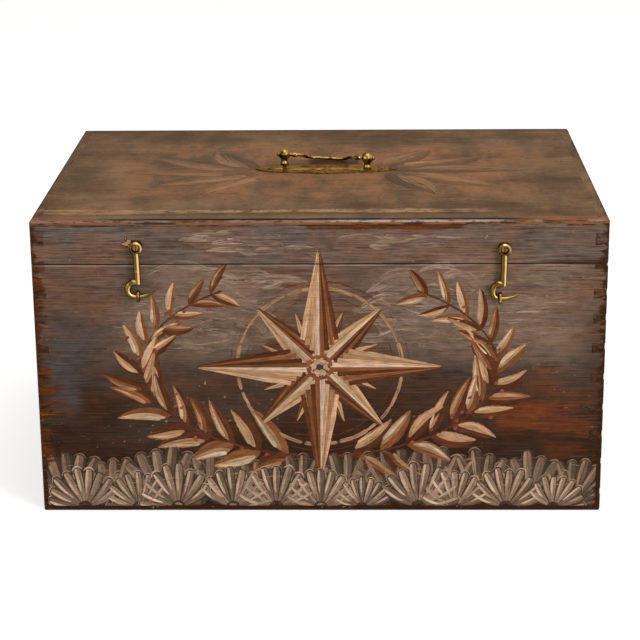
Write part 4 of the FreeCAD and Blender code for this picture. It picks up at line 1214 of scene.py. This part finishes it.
def finished_strokes(name, canvas, body, keep_below=None, keep_above=None):
    """A closed copy of a canvas on its body, of which only a part is kept where a height is given."""
    shape = canvas.shape.copy()
    for height, normal in ((keep_below, 1), (keep_above, -1)):
        if height is not None:
            cut(shape, (0, 0, height), (0, 0, normal), drop_outside=True)
            bmesh.ops.holes_fill(shape, edges=[edge for edge in shape.edges if edge.is_boundary], sides=0)
    bmesh.ops.recalc_face_normals(shape, faces=shape.faces)
    for face in shape.faces:
        face.smooth = True
    piece = made_object(name, shape)
    piece.data.materials.append(strokes_finish)
    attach(piece, body)
    piece.data.calc_loop_triangles()
    print(name, len(piece.data.loop_triangles), "triangles")


for name, canvas in (("pale_strokes", pale_canvas), ("star_strokes", star_canvas)):
    finished_strokes("case_" + name, canvas, "case", keep_below=SEAM - SEAM_CLEAR)
    finished_strokes("lid_" + name, canvas, "lid", keep_above=SEAM + SEAM_CLEAR)
finished_strokes("branch_strokes", branch_canvas, "case", keep_below=SEAM - SEAM_CLEAR)
finished_strokes("back_shell_strokes", back_shells, "case")
finished_strokes("front_shell_strokes", front_shells, "case")
finished_strokes("top_palmette_strokes", top_canvas, "lid")
for canvas in (pale_canvas, star_canvas, branch_canvas, back_shells, front_shells, top_canvas):
    canvas.shape.free()

# %% [markdown]
# Brass that fingers and cloths have touched for a century is bright where they reach and brown where they do
# not, and a mottled noise spreads that tarnish. Over it lies painted light: faces turned up and to the right
# are brighter and the others browner, as if lit from above at the right, and along the hooks a painted
# highlight runs down one side. Tarnished brass stays brown when it is seen at a low angle, which is what the
# specular tint says. A map of the tarnish could be painted by hand instead of the noise.

# %% Brass
BRASS_GLOSS = 0.1


def old_brass(name, colours, roughness, mottle=130, emboss=0.12, spread=0.11, highlight_stripe=0.0, metal=1.0,
              age=0.51):
    """Brass in a bright and a dull colour.

    The dull places have a size (mottle), a depth (emboss), a softness (spread) and a share (age). Faces
    turned up and to the right are painted brighter, as if lit from above at the right. A highlight stripe is
    the strength of a painted highlight down one side.
    """
    bright, dull = colours
    material, tree, surface, coordinates = new_material(name)
    facing = put(tree, "SeparateXYZ", {0: put(tree, "TexCoord").outputs["Normal"]}).outputs
    patina = grain(tree, coordinates, (mottle, mottle, mottle), 5.0, 0.65)
    scratch = grain(tree, coordinates, (900, 900, 260), 2.0, 0.5)
    # Faces turned up and to the right are made brighter: painted light from above at the right
    wear_and_sheen = total(tree, (patina, 1.0), (facing["Z"], 0.08), (facing["X"], 0.07))
    if highlight_stripe:
        # A painted highlight down the side that faces right and up
        lean = total(tree, (facing["X"], 0.85), (facing["Z"], 0.5))
        lit_side = calc(tree, "SUBTRACT", window(tree, lean, 0.28, 0.60, 0.18), 0.4)
        wear_and_sheen = total(tree, (wear_and_sheen, 1.0), (lit_side, highlight_stripe))
    colour = blend_colour(tree, fade(tree, wear_and_sheen, age - spread, age + spread), dull, bright)
    surface.inputs["Metallic"].default_value = metal
    surface.inputs["Specular IOR Level"].default_value = BRASS_GLOSS
    surface.inputs["Specular Tint"].default_value = (*[part * 1.1 for part in bright], 1)
    worn = total(tree, (patina, 0.6), (scratch, 0.4))
    rough = fade(tree, worn, 0.35, 0.65, roughness + 0.10, roughness)
    finish_surface(tree, surface, colour, rough, total(tree, (scratch, 1.0), (patina, 2.0)), 0.0006, emboss)
    return material, tree, surface, coordinates, colour


handle_brass = old_brass("handle_brass", ((0.40, 0.255, 0.070), (0.040, 0.021, 0.006)), 0.13, 190, 0.10)[0]
hinge_brass = old_brass("hinge_brass", ((0.40, 0.27, 0.09), (0.17, 0.10, 0.035)), 0.34)[0]
eye_brass = old_brass("eye_brass", ((0.38, 0.215, 0.068), (0.10, 0.05, 0.016)), 0.24)[0]
print("brass ready for the handle, the hinges and the screw eyes")

# %% [markdown]
# Three kinds of piece have marks of their own over that brass: painted glints along the middle of the handle
# plate, where a ridge would catch the light, a darker inside in the hooks' eyelets, and painted shade in the
# screws' slots and round their heads. Each mark is placed from the CAD model or on the piece's own
# coordinates, so it stays where it is when the piece moves.

# %% Marks on the brass
PLATE_COLOURS, PLATE_GLINT = ((0.40, 0.255, 0.088), (0.068, 0.038, 0.012)), (0.80, 0.60, 0.30)
GLINT_X, GLINT_Y = (-0.045, 0.05, 0.015), (0.004, 0.010, 0.002)
HOOK_COLOURS, EYELET_DARK = ((0.62, 0.43, 0.15), (0.120, 0.070, 0.017)), (0.060, 0.026, 0.010)
EYELET_RADIUS, EYELET_OUTER = 0.0041, 0.0046
SCREW_COLOURS, SLOT_SHADE = ((0.30, 0.160, 0.060), (0.12, 0.055, 0.021)), (0.012, 0.006, 0.003)
SLOT_SHADE_START, SLOT_DEEP = 0.0003, 0.0007


def plate_finish():
    """Dull brass with painted glints in bright flecks along its middle, where a ridge would catch the light.
    """
    brass = old_brass("plate_brass", PLATE_COLOURS, 0.26, 230, 0.6, 0.15, metal=0.9, age=0.58)
    material, tree, surface, coordinates, colour = brass
    x, y = put(tree, "SeparateXYZ", {0: coordinates}).outputs[:2]
    glint_noise = grain(tree, coordinates, (110, 420, 100), 2.0, 0.5, (1, 1, 4))
    # Painted glints: bright flecks in a band along the middle of the plate
    wear_and_sheen = product(tree, window(tree, y, *GLINT_Y), window(tree, x, *GLINT_X),
                     fade(tree, glint_noise, 0.46, 0.58), 0.9)
    tree.links.new(blend_colour(tree, wear_and_sheen, colour, PLATE_GLINT), surface.inputs["Base Color"])
    return material


def hook_finish(side):
    """Brass, darker inside the eyelet, whose middle is the hook's pivot."""
    # The last number is the strength of the painted highlight down the hook's side
    brass = old_brass(f"{side}_hook_brass", HOOK_COLOURS, 0.18, 70, 0.03, 0.17, 0.5)
    material, tree, surface, coordinates, colour = brass
    pivot = next(joint for joint in frame["joints"] if joint["name"] == f"{side}_hook_swing")["pos_m"]
    x, _, z = put(tree, "SeparateXYZ", {0: coordinates}).outputs
    in_eyelet = fade(tree, distance(tree, x, z, (pivot[0], pivot[2])), EYELET_OUTER, EYELET_RADIUS)
    tree.links.new(blend_colour(tree, in_eyelet, colour, EYELET_DARK), surface.inputs["Base Color"])
    return material


def screw_finish():
    """Brown brass, with painted shade in the slot and round the head."""
    material, tree, surface, coordinates, colour = old_brass("screw_brass", SCREW_COLOURS, 0.4)
    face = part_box("hook_screws")[0].y
    depth = calc(tree, "SUBTRACT", put(tree, "SeparateXYZ", {0: coordinates}).outputs[1], face)
    # Painted shade on all that lies deeper than the face of the head
    in_slot = fade(tree, depth, SLOT_SHADE_START, SLOT_DEEP)
    tree.links.new(blend_colour(tree, in_slot, colour, SLOT_SHADE), surface.inputs["Base Color"])
    return material


plate_brass = plate_finish()
hook_brass = {side: hook_finish(side) for side in ("left", "right")}
screw_brass = screw_finish()
print("marks ready on the plate,", len(hook_brass), "hooks and the screws")

# %% [markdown]
# The metal pieces could be modelled again, but the CAD shapes are exact, so they only change their
# material. The heads of the iron brads were painted over with the boards, so they take the boards' paint,
# and the bottom is bare pine. What isn't named is part of a hinge, a nut inside the lid, or a board that
# has been replaced.

# %% Finishes onto the CAD pieces
finishes = {"left_hook": hook_brass["left"], "right_hook": hook_brass["right"], "hook_screws": screw_brass,
            "left_screw_eye": eye_brass, "right_screw_eye": eye_brass, "handle_plate": plate_brass,
            "handle_plate_pins": plate_brass, "left_handle_post": handle_brass,
            "right_handle_post": handle_brass, "handle_bail": handle_brass, "bottom_brads": paints["X"],
            "top_brads": paints["X"], "case_bottom": pines["X"]}
for name, item in frame["nodes"].items():
    for holder in item.material_slots:
        holder.material = finishes.get(name, hinge_brass)
print(len(finishes), "pieces have a finish of their own")
